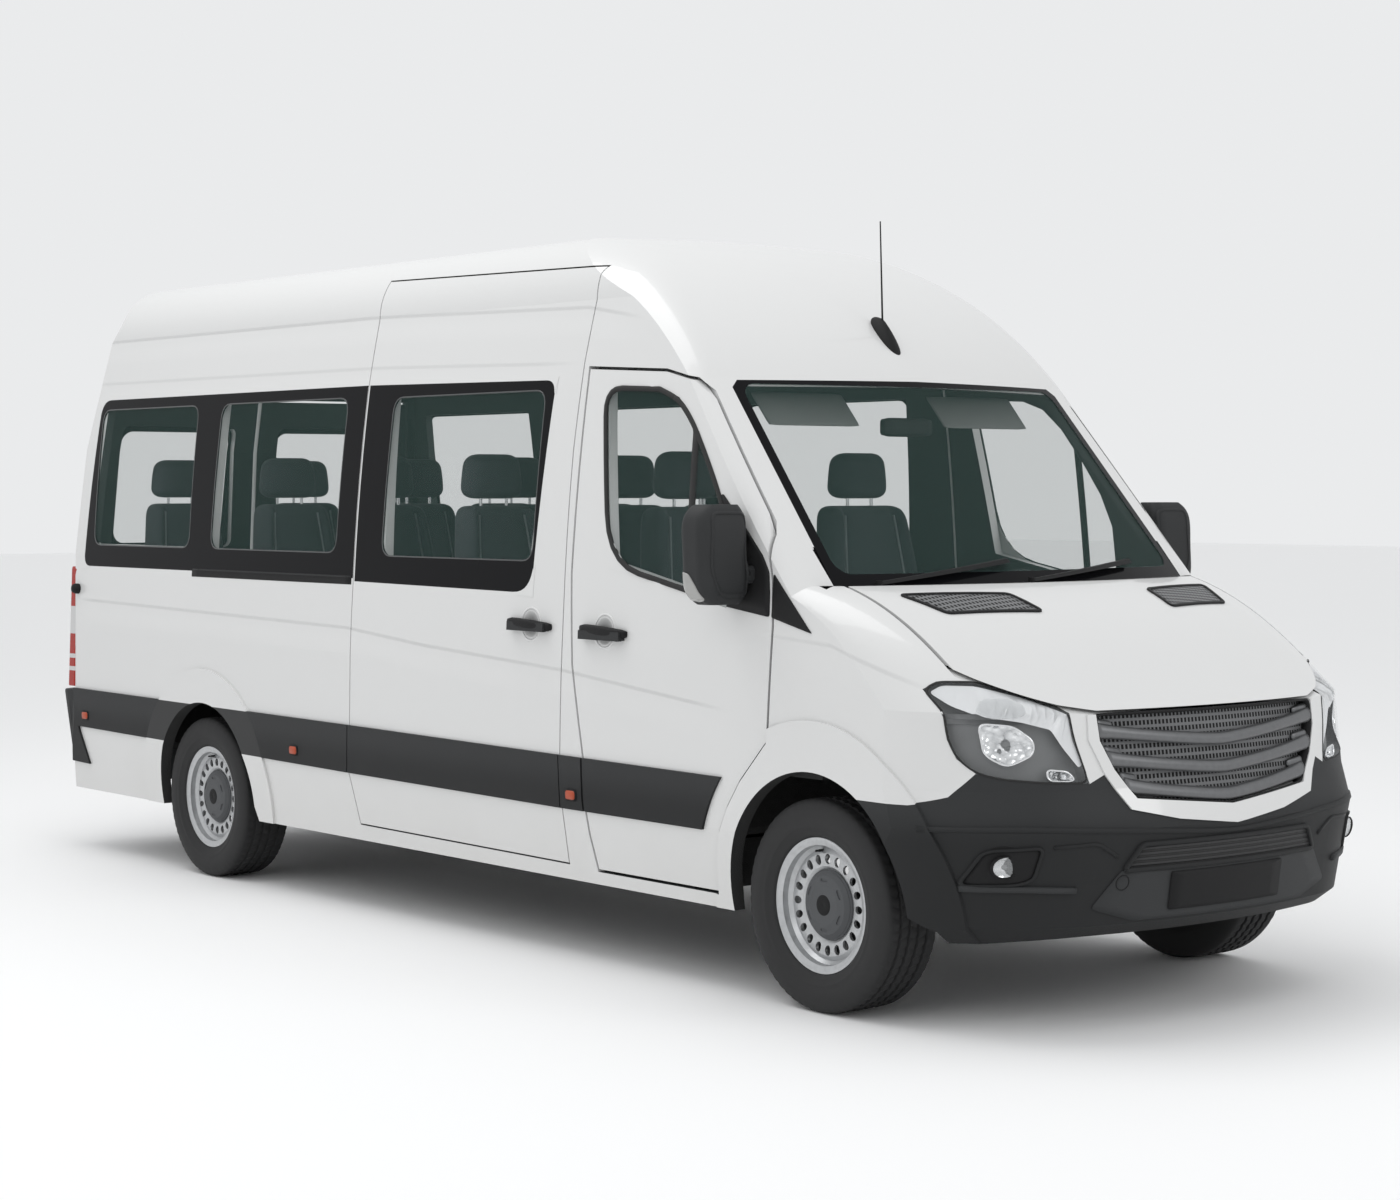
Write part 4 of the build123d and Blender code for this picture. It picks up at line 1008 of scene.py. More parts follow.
class MINIBUS_OT_side_details(Dressing):
    """Adds mirrors, their black corners, handle cups and marker lamps"""

    bl_idname = "minibus.side_details"
    bl_label = "Side details"

    def dress(self, sizes):
        for side, hand in SIDES.items():
            body = f"door_front_{side}"
            door = Bed(side, skin_of(body), body)
            sail = (
                (-0.445, 1.310), (-0.458, 1.560), (-0.508, 1.662), (-0.496, 1.690),
                (-0.385, 1.598), (-0.262, 1.484), (-0.224, 1.430), (-0.215, 1.360),
                (-0.213, 1.282),
            )
            door.patch(f"mirror_corner_{side}", sail, 0.004, "trim_dark", "black_trim",
                       radius=0.012, rings=5)
            pillar = Bed(side, skin_of(f"body_side_{side}", "front_wings"), "body")
            sail = ((-0.198, 1.424), (-0.010, 1.248), (0.004, 1.236), (-0.200, 1.281))
            pillar.patch(f"pillar_corner_{side}", sail, 0.004, "trim_dark", "black_trim",
                         radius=0.006, rings=5)
            self.handle("door", door, side, hand)
            if side == "right":
                self.handle("slide", Bed(side, skin_of("sliding_door"), "body"), side, hand)
            self.markers(side)
            self.mirror(side, hand, body)

    def handle(self, name, bed, side, hand):
        """A round cup in the panel with a bar across it, bowed and thinner at its ends."""
        ahead, height = CUPS[name]
        bed.strip(f"{name}_cup_edge_{side}", ring_points(ahead, height, CUP_RADIUS, 32), 0.010,
                  0.0022, "paint", "white_paint", radius=0.001)
        bed.patch(f"{name}_cup_{side}", ring_points(ahead, height, CUP_RADIUS - 0.004, 32), 0.0010,
                  "cup", "white_paint", radius=0.001, rings=6)
        middle = front_axle + ahead
        half = 0.135
        inner, outer = sorted((hand * 0.992, hand * 1.022))
        points, faces = rounded_block(
            (middle - half, inner, height - 0.019), (middle + half, outer, height + 0.019),
            0.0145, 8)
        for point in points:
            share = (point.x - middle) / half
            point.z -= 0.008 * share
            point.y -= hand * 0.012 * share * share
            point.z = height + (point.z - height) * (1.0 - 0.22 * share * share)
        add_piece(f"{name}_handle_{side}", points, faces, bed.body, "trim_dark")

    def markers(self, side):
        """Amber marker lamps on the rub strips."""
        strips = Bed(side, skin_of("rub_strips"), "body")
        places = ((-5.205, 0.642), (-3.272, 0.620), (-1.302, 0.603))
        for number, (ahead, height) in enumerate(places):
            base, lamp = (
                box_outline(ahead - half, ahead + half, height - half_height, height + half_height)
                for half, half_height in ((0.034, 0.022), (0.027, 0.016))
            )
            strips.patch(f"marker_base_{number}_{side}", base, 0.003, "trim_dark", "black_trim",
                         radius=0.014, rings=2)
            strips.patch(f"marker_{number}_{side}", lamp, 0.006, "amber", "dark_trim",
                         radius=0.012, rings=3, dome=0.003)

    def mirror(self, side, hand, body):
        """Indicator, pressed frame, glass and arms of the outside mirror."""
        skin = skin_of(f"door_trim_{side}")
        lamp = ((-0.414, 1.432), (-0.376, 1.424), (-0.345, 1.388), (-0.322, 1.340),
                (-0.350, 1.334), (-0.412, 1.340))
        Bed(side, skin, body).patch(f"mirror_indicator_{side}", lamp, 0.003, "indicator",
                                    "lamp_clear", radius=0.010, rings=5, gap=0.01)
        seam = ((1.005, 1.352), (1.005, 1.625), (1.150, 1.625), (1.160, 1.430), (1.120, 1.352))
        Bed("front", skin, body, hand).strip(f"mirror_seam_{side}", seam, 0.012, 0.003, "trim",
                                             "black_trim", radius=0.03)
        glass = ((1.003, 1.352), (1.003, 1.625), (1.150, 1.625), (1.165, 1.352))
        Bed("rear", skin, body, hand).patch(f"mirror_glass_{side}", glass, 0.0015, "mirror",
                                            "black_trim", radius=0.03)
        for height in (1.415, 1.550):
            points, faces = rounded_block(
                (front_axle - 0.400, 0.965, height - 0.026),
                (front_axle - 0.345, 1.030, height + 0.026), 0.020, 5)
            points = [Vector((p.x, p.y * hand, p.z)) for p in points]
            add_solid(f"mirror_arm_{round(height * 1000)}_{side}", points, faces, body,
                      "trim_dark")


# -------------------------------------------------------------- the nose
# The front's skin: its line along the middle, as (height, ahead), and the radius it bows with.
NOSE_TIPS = (
    (0.288, 0.800), (0.345, 0.884), (0.480, 0.902), (0.645, 0.934), (0.770, 0.893), (1.012, 0.855),
)
NOSE_BOW = 2.430


def between(rows, at):
    """Value at a place in rows of (place, value), carried on beyond the last row."""
    for (start, first), (end, last) in zip(rows, rows[1:]):
        if at <= end:
            break
    return first + (last - first) * (at - start) / (end - start)


def on_nose(across, height, inward=0.0):
    """Point of the front's bowed skin, moved inward."""
    bow = math.sqrt(NOSE_BOW ** 2 - across ** 2) - NOSE_BOW
    tip = between(NOSE_TIPS, height)
    return Vector((front_axle + tip + bow - inward, across, height))


def nose_bed(hand=1):
    """The front's whole skin, with its openings closed."""
    if "nose" not in skins:
        rows, columns = 37, 33
        points = [
            on_nose(-0.56 + 1.12 * k / (columns - 1), 0.290 + 0.71 * i / (rows - 1))
            for i in range(rows) for k in range(columns)
        ]
        skins["nose"] = search_tree(
            ("front_bumper", "front_lamps"), points, sheet_faces(rows, columns))
    return Bed("front", skins["nose"], "body", hand)


# The grille's opening: half widths as (height, half width), the middle and rise of its foot,
# which climbs from the middle until it meets the sides, and the plate's top and depth.
GRILLE_WIDTHS = ((0.700, 0.330), (0.739, 0.398), (0.830, 0.468), (0.920, 0.510), (1.003, 0.514))
GRILLE_FOOT = 0.702
FOOT_RISE = 0.037
FOOT_HALF = 0.398
PLATE_TOP = 1.002
PLATE_DEPTH = 0.034
GRILLE_EDGE = (
    (-0.514, 1.001), (-0.510, 0.920), (-0.468, 0.830), (-FOOT_HALF, 0.739), (0, GRILLE_FOOT),
    (FOOT_HALF, 0.739), (0.468, 0.830), (0.510, 0.920), (0.514, 1.001),
)


class MINIBUS_OT_grille(Dressing):
    """Builds the grille: three thick bars that dip to the middle over a plate whose holes are
    painted near black as shade
    """

    bl_idname = "minibus.grille"
    bl_label = "Grille"

    def dress(self, sizes):
        levels = 17
        columns = 45
        points = []
        for i in range(levels):
            height = PLATE_TOP - 0.302 * i / (levels - 1)
            half = self.half_width(height)
            for k in range(columns):
                across = half * (2 * k / (columns - 1) - 1)
                points.append(on_nose(across, max(height, self.foot(across)), PLATE_DEPTH))
        # The rows run downward, so the faces are turned over to look forward.
        faces = [(a, d, c, b) for a, b, c, d in sheet_faces(levels, columns)]
        plate = add_piece("grille_plate", points, faces, "body", "grille_plate")
        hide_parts("grille")
        bars = ((0.951, 0.0200), (0.863, 0.0205), (0.777, 0.0205))
        for number, (height, half_height) in enumerate(bars):
            self.bar(f"grille_bar_{number}", height, half_height)
        for hand in (-1, 1):
            for number, height in enumerate((0.965, 0.880, 0.797)):
                self.pod(f"grille_pod_{number}_{hand + 1}", height, hand)
        nose_bed().strip("grille_edge", GRILLE_EDGE, 0.008, 0.002, "trim_dark", "dark_trim",
                         radius=0.03, sink=0.030)

    def half_width(self, height):
        """Half width of the opening at a height."""
        return between(GRILLE_WIDTHS, held(height, GRILLE_WIDTHS[0][0], GRILLE_WIDTHS[-1][0]))

    def foot(self, across):
        """Lowest height of the opening at a place across."""
        return GRILLE_FOOT + min(abs(across) / FOOT_HALF, 1.0) * FOOT_RISE

    def bar(self, name, height, half_height):
        """One bar, level at its ends and dipping to the middle."""
        sections = 61
        round_points = 14
        middle_dip = 0.048
        half = self.half_width(height)
        points = []
        for i in range(sections):
            share = 2 * i / (sections - 1) - 1
            dip = middle_dip * (1.0 - abs(share) ** 1.3)
            thick = half_height * (1.0 + 0.35 * abs(share) ** 9)
            for k in range(round_points):
                turn = 2 * math.pi * k / round_points
                out = math.cos(turn)
                up = math.sin(turn)
                depth = 0.013 - 0.018 * math.copysign(abs(out) ** 0.9, out)
                rise = thick * math.copysign(abs(up) ** 0.95, up)
                points.append(on_nose(half * share, height - dip + rise, depth))
        faces = tube_faces(round_points, sections)
        faces.append(tuple(range(round_points)))
        faces.append(tuple(reversed(range(len(points) - round_points, len(points)))))
        add_solid(name, points, faces, "body", "blade")

    def pod(self, name, height, hand):
        """Raised end between two bars."""
        outer = self.half_width(height) - 0.004
        inner = outer - 0.075
        points, faces = rounded_block(
            (0, inner, height - 0.024), (0.030, outer, height + 0.024), 0.012, 6)
        placed = []
        for point in points:
            share = (point.y - inner) / (outer - inner)
            z = height + (point.z - height) * (0.45 + 0.55 * share)
            inward = PLATE_DEPTH - point.x * (0.35 + 0.65 * share)
            placed.append(on_nose(point.y * hand, z, inward))
        add_solid(name, placed, faces, "body", "blade")


# Parts of a fog lamp: (name, profile of (along, radius), material, slot).
FOG_PARTS = (
    ("ring", ((0.0, 0.050), (0.012, 0.050), (0.014, 0.047), (0.012, 0.044), (0.0, 0.041)),
     "trim_dark", "dark_trim"),
    ("reflector", ((0.002, 0.0), (0.002, 0.014), (0.004, 0.030), (0.009, 0.0435)),
     "reflector", "lamp_clear"),
    ("bulb", ((0.008, 0.0), (0.0075, 0.006), (0.005, 0.010), (0.001, 0.012)),
     "bezel", "lamp_clear"),
    ("lens", ((0.0135, 0.0), (0.013, 0.020), (0.011, 0.036), (0.008, 0.044)),
     "fluted", "lamp_clear"),
)


class MINIBUS_OT_bumper_details(Dressing):
    """Adds ledge, intake, plate panel, fog lamps and ribs to the front bumper"""

    bl_idname = "minibus.bumper_details"
    bl_label = "Bumper details"

    def dress(self, sizes):
        nose = nose_bed()
        ledge = ((-0.985, 0.650), (-0.80, 0.660), (-0.45, 0.642), (0.0, 0.612),
                 (0.45, 0.642), (0.80, 0.660), (0.985, 0.650))
        nose.strip("bumper_ledge", ledge, 0.018, 0.005, "trim", "dark_trim", closed=False,
                   radius=0.12)
        skid = ((-0.560, 0.400), (-0.455, 0.520), (-0.300, 0.512), (0.300, 0.512),
                (0.455, 0.520), (0.560, 0.400), (0.400, 0.352), (-0.400, 0.352))
        nose.patch("bumper_skid_panel", skid, 0.004, "trim_pale", "dark_trim", rings=6)
        intake = ((-0.452, 0.516), (-0.395, 0.596), (0.395, 0.596), (0.452, 0.516))
        nose.patch("bumper_intake", intake, 0.003, "slats", "dark_trim", radius=0.016, rings=6)
        nose.strip("bumper_intake_edge", intake, 0.016, 0.009, "trim", "dark_trim", radius=0.016)
        plate = ((-0.262, 0.378), (-0.262, 0.500), (0.262, 0.500), (0.262, 0.378))
        nose.patch("plate_panel", plate, 0.010, "trim_dark", "dark_trim", radius=0.008, rings=5)
        nose.strip("tow_cover_edge", ring_points(-0.452, 0.478, 0.024, 24), 0.003, 0.0055,
                   "trim_dark", "dark_trim", radius=0.001)
        for side, hand in SIDES.items():
            self.fog_lamp(side, nose_bed(hand))

    def fog_lamp(self, side, nose):
        """A fog lamp in its recess, with the lines pressed into the bumper round it."""
        recess = ((0.905, 0.478), (0.868, 0.590), (0.728, 0.602), (0.742, 0.500), (0.780, 0.484))
        nose.patch(f"fog_recess_{side}", recess, 0.0025, "trim_dark", "dark_trim", radius=0.024,
                   rings=5)
        nose.strip(f"fog_recess_edge_{side}", recess, 0.010, 0.008, "trim", "dark_trim",
                   radius=0.024)
        sill = ((0.905, 0.470), (0.760, 0.470), (0.615, 0.462))
        nose.strip(f"fog_ledge_{side}", sill, 0.020, 0.010, "trim_pale", "dark_trim",
                   closed=False)
        crease = ((0.700, 0.600), (0.560, 0.607), (0.480, 0.560))
        nose.strip(f"bumper_crease_{side}", crease, 0.012, 0.004, "trim", "dark_trim",
                   closed=False)
        where, normal = nose.lay(*nose.place(0.818, 0.541))
        forward = Vector((1.4, 0, 0))
        squash = 0.72
        axis = (normal + forward).normalized()
        for part, profile, material, slot in FOG_PARTS:
            points, faces = spun(profile, where, axis, 32)
            for point in points:
                point.z = where.z + (point.z - where.z) * squash
            add_piece(f"fog_{part}_{side}", points, faces, "body", material)


# The headlamp from the front, as (across, height): its sunk fields, its hollows and its edge.
LAMP_BAND = (
    (0.925, 1.077), (0.889, 1.099), (0.800, 1.099), (0.692, 1.066), (0.612, 1.023),
    (0.604, 0.930), (0.578, 0.850), (0.592, 0.842), (0.640, 0.905), (0.672, 0.960),
    (0.760, 0.985), (0.850, 1.000), (0.905, 1.040),
)
LAMP_INDICATOR = (
    (0.865, 1.018), (0.822, 1.058), (0.745, 1.062), (0.722, 1.040), (0.750, 1.000), (0.830, 0.992),
)
LAMP_HOLLOWS = {
    "main": ((0.858, 0.980), (0.850, 0.882), (0.800, 0.846), (0.728, 0.884), (0.722, 0.925),
             (0.775, 0.972)),
    "inner": ((0.694, 0.838), (0.626, 0.830), (0.606, 0.806), (0.622, 0.799), (0.690, 0.802)),
}
LAMP_EDGE = (
    (0.927, 1.080), (0.890, 1.103), (0.800, 1.103), (0.691, 1.069), (0.608, 1.026),
    (0.599, 0.930), (0.562, 0.792), (0.700, 0.797), (0.813, 0.809), (0.870, 0.827),
    (0.904, 0.870), (0.919, 0.930),
)


class MINIBUS_OT_headlamps(Dressing):
    """Fits reflectors, bands and lamps behind the headlamp lenses"""

    bl_idname = "minibus.headlamps"
    bl_label = "Headlamps"

    def dress(self, sizes):
        def is_fog_lamp(centre, _):
            return centre.z < 0.65

        def is_lens(_, normal):
            return normal.x > 0.12

        finish_nodes(("front_lamps",), ("trim_dark", is_fog_lamp), ("lens", is_lens),
                     ("bezel", None))
        mesh = nodes["front_lamps"].data
        glass = [
            list(face.vertices) for face in mesh.polygons
            if is_lens(face.center, face.normal) and not is_fog_lamp(face.center, face.normal)
        ]
        skin = BVHTree.FromPolygons([v.co for v in mesh.vertices], glass)
        for side, hand in SIDES.items():
            lens = Bed("front", skin, "body", hand)
            self.sunk(f"lamp_band_{side}", lens, LAMP_BAND, 0.006, "lamp_band", 0.012)
            lens.strip(f"lamp_seal_{side}", LAMP_EDGE, 0.006, 0.0012, "seal", "dark_trim",
                       radius=0.035, gap=0.02)
            self.sunk(f"lamp_indicator_{side}", lens, LAMP_INDICATOR, 0.0035, "fluted", 0.016)
            for name, outline in LAMP_HOLLOWS.items():
                self.bowl(f"lamp_{name}_{side}", lens, outline)

    def bowl(self, name, lens, outline):
        """Faceted hollow behind the lens, with a bulb's cap and a bright rim."""
        path = lens.path(outline, 0.022, 0.008)
        middle = middle_of(path)
        shares = (1.0, 0.92, 0.78, 0.6, 0.4, 0.2, 0.12, 0.0)
        rim_depth, hollow = 0.008, 0.022
        points = []
        for share in shares:
            for here in path:
                spot = middle + (here - middle) * share
                point, normal = lens.lay(spot.x, spot.y)
                points.append(point - normal * (rim_depth + hollow * (1.0 - share ** 2)))
        faces = tube_faces(len(path), len(shares))
        add_piece(name, points, faces, "body", "reflector_ribs")
        where, normal = lens.lay(middle.x, middle.y)
        radius = min((here - middle).length for here in path)
        cap = ((0.020, 0.0), (0.019, radius * 0.16), (0.013, radius * 0.24), (0.002, radius * 0.27))
        points, faces = spun(cap, where - normal * 0.032, normal, 20)
        add_piece(f"{name}_bulb", points, faces, "body", "bezel")
        lens.strip(f"{name}_rim", outline, 0.006, -0.006, "reflector", "lamp_clear",
                   radius=0.022, gap=0.01, sink=0.010)

    def sunk(self, name, lens, outline, depth, material, radius):
        """Plate that follows the lens a little below it."""
        made = bmesh.new()
        ring = []
        for spot in lens.path(outline, radius, 0.03):
            point, normal = lens.lay(spot.x, spot.y)
            ring.append(made.verts.new(point - normal * depth))
        bmesh.ops.triangulate(made, faces=[made.faces.new(ring)])
        bmesh.ops.subdivide_edges(made, edges=made.edges, cuts=2)
        for vert in made.verts:
            point, normal = lens.lay(vert.co.y, vert.co.z)
            vert.co = point - normal * depth
        points, faces = taken_apart(made)
        add_piece(name, points, faces, "body", material)


class MINIBUS_OT_bonnet_details(Dressing):
    """Adds the bonnet's two vents and the aerial's foot"""

    bl_idname = "minibus.bonnet_details"
    bl_label = "Vents and aerial"

    def dress(self, sizes):
        vent = ((0.143, 0.732), (0.300, 0.668), (0.374, 0.312), (0.240, 0.336))
        for side, hand in SIDES.items():
            bonnet = Bed("top", skin_of("bonnet"), "bonnet", hand)
            bonnet.patch(f"vent_{side}", vent, 0.0015, "vent_mesh", "dark_trim")
            bonnet.strip(f"vent_edge_{side}", vent, 0.014, 0.005, "trim_dark", "dark_trim")
        roof = Bed("top", skin_of("roof"), "body")
        points = []
        count, levels = 28, 8
        for level in range(levels):
            share = level / (levels - 1)
            for i in range(count):
                turn = 2 * math.pi * i / count
                ahead = 0.075 * math.cos(turn) * (1 - share ** 2 * 0.85) - 0.014 * share
                across = 0.031 * math.sin(turn) * (1 - share ** 1.6 * 0.85)
                across *= 1 + 0.3 * math.cos(turn)
                point, _ = roof.lay(*roof.place(ahead - 0.735, across))
                points.append(point + Vector((0, 0, -0.004)) + Vector((0.006, 0, 0.052)) * share)
        faces = tube_faces(count, levels)
        faces.append(tuple(range(len(points) - count, len(points))))
        add_solid("aerial_foot", points, faces, "body", "trim_dark")


# Half of the tyre's section, as (across, radius) from the rim to the tread.
TYRE_WALL = (
    (0.0817, 0.2046), (0.0860, 0.2220), (0.0975, 0.2262), (0.1010, 0.2300), (0.1040, 0.2400),
    (0.1085, 0.2500), (0.1120, 0.2560), (0.1136, 0.2600), (0.1130, 0.2640), (0.1155, 0.2760),
    (0.1172, 0.2880), (0.1170, 0.3000), (0.1160, 0.3110), (0.1140, 0.3200), (0.1118, 0.3290),
    (0.1085, 0.3370), (0.1030, 0.3440), (0.0950, 0.3478), (0.0860, 0.3490),
)
TREAD_RADIUS = 0.3497
TREAD_HALF = 0.105  # the tread's curved and slit part ends here, across
CAP_OUT = 0.0495
CAP_RADIUS = 0.1125
# Turned parts of a wheel: (name, profile, points round it, place as ahead, out and up from the
# hub, material). The valve stands 100 degrees round from straight ahead.
VALVE_TURN = math.radians(100)
WHEEL_PARTS = (
    ("cap_middle", ((0.0800, 0.0), (0.0815, 0.004), (0.0815, 0.030), (0.0800, 0.034),
                    (0.0780, 0.036)), 36, (0, 0, 0), "trim_dark"),
    ("cap_edge", ((0.0505, 0.1155), (0.0560, 0.1150), (0.0600, 0.1120), (0.0595, 0.1085)),
     48, (0, 0, 0), "hub_cap"),
    ("valve", ((0.0, 0.0045), (0.020, 0.0045), (0.022, 0.0035), (0.034, 0.0035), (0.035, 0.0)),
     12, (0.178 * math.cos(VALVE_TURN), 0.052, 0.178 * math.sin(VALVE_TURN)), "trim_dark"),
)


class MINIBUS_OT_wheels(Dressing):
    """Colours the rims and builds the grooved tyres, the caps' raised parts and the valves"""

    bl_idname = "minibus.wheels"
    bl_label = "Wheels"

    def dress(self, sizes):
        for end, axle in (("front", front_axle), ("rear", rear_axle)):
            for side, hand in SIDES.items():
                hub = Vector((axle, hand * wheel_across, wheel_height))

                def is_cap(centre, _):
                    out = (centre.y - hub.y) * hand
                    reach = math.hypot(centre.x - hub.x, centre.z - hub.z)
                    return out > CAP_OUT and reach < CAP_RADIUS

                finish_nodes((f"rim_{end}_{side}",), ("hub_cap", is_cap), ("rim", None))
                body = f"wheel_{end}_{side}"
                self.tyre(f"tyre_{end}_{side}", body, hand, hub, sizes.groove_depth)
                for name, profile, count, (ahead, out, up), material in WHEEL_PARTS:
                    place = hub + Vector((ahead, hand * out, up))
                    points, faces = spun(profile, place, (0, hand, 0), count)
                    add_piece(f"{name}_{end}_{side}", points, faces, body, material)

    def tyre(self, node, body, hand, hub, depth):
        """Tyre with four grooves round it, slits across it and a moulded sidewall."""
        profile = list(TYRE_WALL)
        for middle in (0.058, 0.019):
            profile += [
                (middle + 0.0075, TREAD_RADIUS), (middle + 0.0050, TREAD_RADIUS - depth),
                (middle - 0.0050, TREAD_RADIUS - depth), (middle - 0.0075, TREAD_RADIUS),
            ]
        profile += [(-across, radius) for across, radius in reversed(profile)]
        profile.append(profile[0])
        turns = 180
        points = []
        for i in range(turns):
            slit = i % 3 == 0
            for across, radius in profile:
                turn = 2 * math.pi * i / turns
                near = abs(across)
                if near < TREAD_HALF and radius > TREAD_RADIUS - 0.0012:
                    turn += 0.018 * math.sin(near * 70.0) * (1 if across > 0 else -1)
                    if slit:
                        radius -= 0.0045
                elif slit and 0.3200 < radius < 0.3450:
                    radius -= 0.0028
                spot = (radius * math.cos(turn), hand * across, radius * math.sin(turn))
                points.append(hub + Vector(spot))
        faces = turned_faces(turns, len(profile))
        piece = add_solid(f"{node}_tread", points, faces, body, "tyre")
        piece.modifiers.new("crisp", "EDGE_SPLIT").split_angle = math.radians(38)
        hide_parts(node)


# ------------------------------------------------------------------- seats
# Rows of seats: (ahead, width, places across, CAD node), and the height they stand at.
CABIN_PLACES = (-0.560, 0.120, 0.580)
SEAT_ROWS = (
    (-1.060, 0.500, (-0.430, 0.430), "front_seats"),
    *((ahead, 0.430, CABIN_PLACES, "rear_seats") for ahead in (-2.150, -2.960, -3.770, -4.800)),
)
SEAT_BASE = 0.900
BACK_HEIGHT = 0.610


def bump_at(value, at, width):
    """1 where the value is at its place, fading to 0 about a width away."""
    return math.exp(-((value - at) / width) ** 2)


def back_narrowing(rise):
    """Share of its width that a seat's back keeps at a share of its height."""
    return 1.0 - 0.20 * max(0.0, rise - 0.45) ** 1.2 / 0.55 ** 1.2


class MINIBUS_OT_seats(Dressing):
    """Builds the crowned, piped seats and their headrests"""

    bl_idname = "minibus.seats"
    bl_label = "Seats"

    def dress(self, sizes):
        places = [
            (front_axle + ahead, across, width, node)
            for ahead, width, row, node in SEAT_ROWS for across in row
        ]
        for number, (ahead, across, width, node) in enumerate(places):
            half = width / 2
            for part in (
                self.cushion(number, ahead, across, half), self.back(number, ahead, across, half),
                self.headrest(number, ahead, across),
            ):
                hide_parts(node)
            self.piping(number, ahead, across, half)
            for hand in (-1, 1):
                pin = ((-0.06, 0.0065), (0.04, 0.0065))
                foot = (ahead - 0.296, across + hand * 0.062, SEAT_BASE + 0.735)
                points, faces = spun(pin, foot, (0, 0, 1), 10)
                add_piece(f"headrest_pin_{number}_{hand + 1}", points, faces, "body",
                          "reflector")

    def cushion(self, number, ahead, across, half):
        """Stuffed cushion with sewn bolsters."""
        reach, height = 0.235, 0.132
        points, faces = rounded_block((-reach, -half, 0.0), (reach, half, height), 0.048, 14)
        for point in points:
            u = point.x / reach
            v = point.y / half
            top = max(0.0, point.z / height)
            bolster = 0.016 if abs(v) > 0.66 else 0.0
            seam = -0.010 * bump_at(abs(v), 0.62, 0.05)
            channel = -0.006 * bump_at(u, 0.25, 0.05) if abs(v) < 0.6 else 0.0
            crown = 0.022 * (1 - u * u) * (1 - min(1.0, (v / 0.62) ** 2))
            point.z += (crown + bolster + seam + channel) * top ** 2 - 0.012 * top
            point.y *= 1.0 - 0.03 * (1 - u * u) * (1 - top)
        return self.piece(f"seat_cushion_{number}", points, faces,
                          (ahead + 0.040, across, SEAT_BASE))

    def back(self, number, ahead, across, half):
        """Stuffed back with sewn bolsters and two seams across it, narrower at its top."""
        reach, side = 0.058, half - 0.01
        points, faces = rounded_block(
            (-reach, -side, 0.0), (reach, side, BACK_HEIGHT), 0.046, 16)
        for point in points:
            rise = point.z / BACK_HEIGHT
            v = point.y / side
            front = max(0.0, point.x / reach)
            bolster = 0.024 if abs(v) > 0.68 else 0.0
            seam = -0.012 * bump_at(abs(v), 0.64, 0.05)
            lines = bump_at(rise, 0.30, 0.022) + bump_at(rise, 0.74, 0.022)
            crown = 0.018 * math.sin(math.pi * min(1.0, rise)) * (1 - min(1.0, (v / 0.64) ** 2))
            point.x += (crown + bolster + seam - 0.006 * lines * (abs(v) < 0.62)) * front ** 2
            point.y *= back_narrowing(rise)
            point.x += -0.100 * rise
        return self.piece(f"seat_back_{number}", points, faces,
                          (ahead - 0.196, across, SEAT_BASE + 0.128))

    def headrest(self, number, ahead, across):
        points, faces = rounded_block((-0.050, -0.138, 0.0), (0.046, 0.138, 0.178), 0.045, 10)
        for point in points:
            rise = point.z / 0.178
            v = point.y / 0.138
            front = max(0.0, point.x / 0.046)
            point.x += 0.012 * front * (1 - v * v) * math.sin(math.pi * rise)
            point.y *= 1.0 - 0.16 * rise ** 2
            point.x -= 0.012 * v * v
        return self.piece(f"seat_headrest_{number}", points, faces,
                          (ahead - 0.298, across, SEAT_BASE + 0.766))

    def piece(self, name, points, faces, place):
        moved = [point + Vector(place) for point in points]
        piece = add_solid(name, moved, faces, "body", "cloth")
        piece.modifiers.new("smooth", "SUBSURF").levels = 1
        return piece

    def piping(self, number, ahead, across, half):
        """Pale piping along both bolsters of the back."""
        count = 17
        for hand in (-1, 1):
            points = []
            for i in range(count):
                rise = 0.04 + 0.90 * i / (count - 1)
                y = across + hand * (half - 0.01) * 0.64 * back_narrowing(rise)
                x = ahead - 0.196 - 0.100 * rise + 0.058 - 0.004
                z = SEAT_BASE + 0.128 + BACK_HEIGHT * rise
                points += [(x + u, y + v, z) for u, v in ring_points(0, 0, 0.005, 6)]
            add_piece(f"seat_piping_{number}_{hand + 1}", points, tube_faces(6, count), "body",
                      "piping")


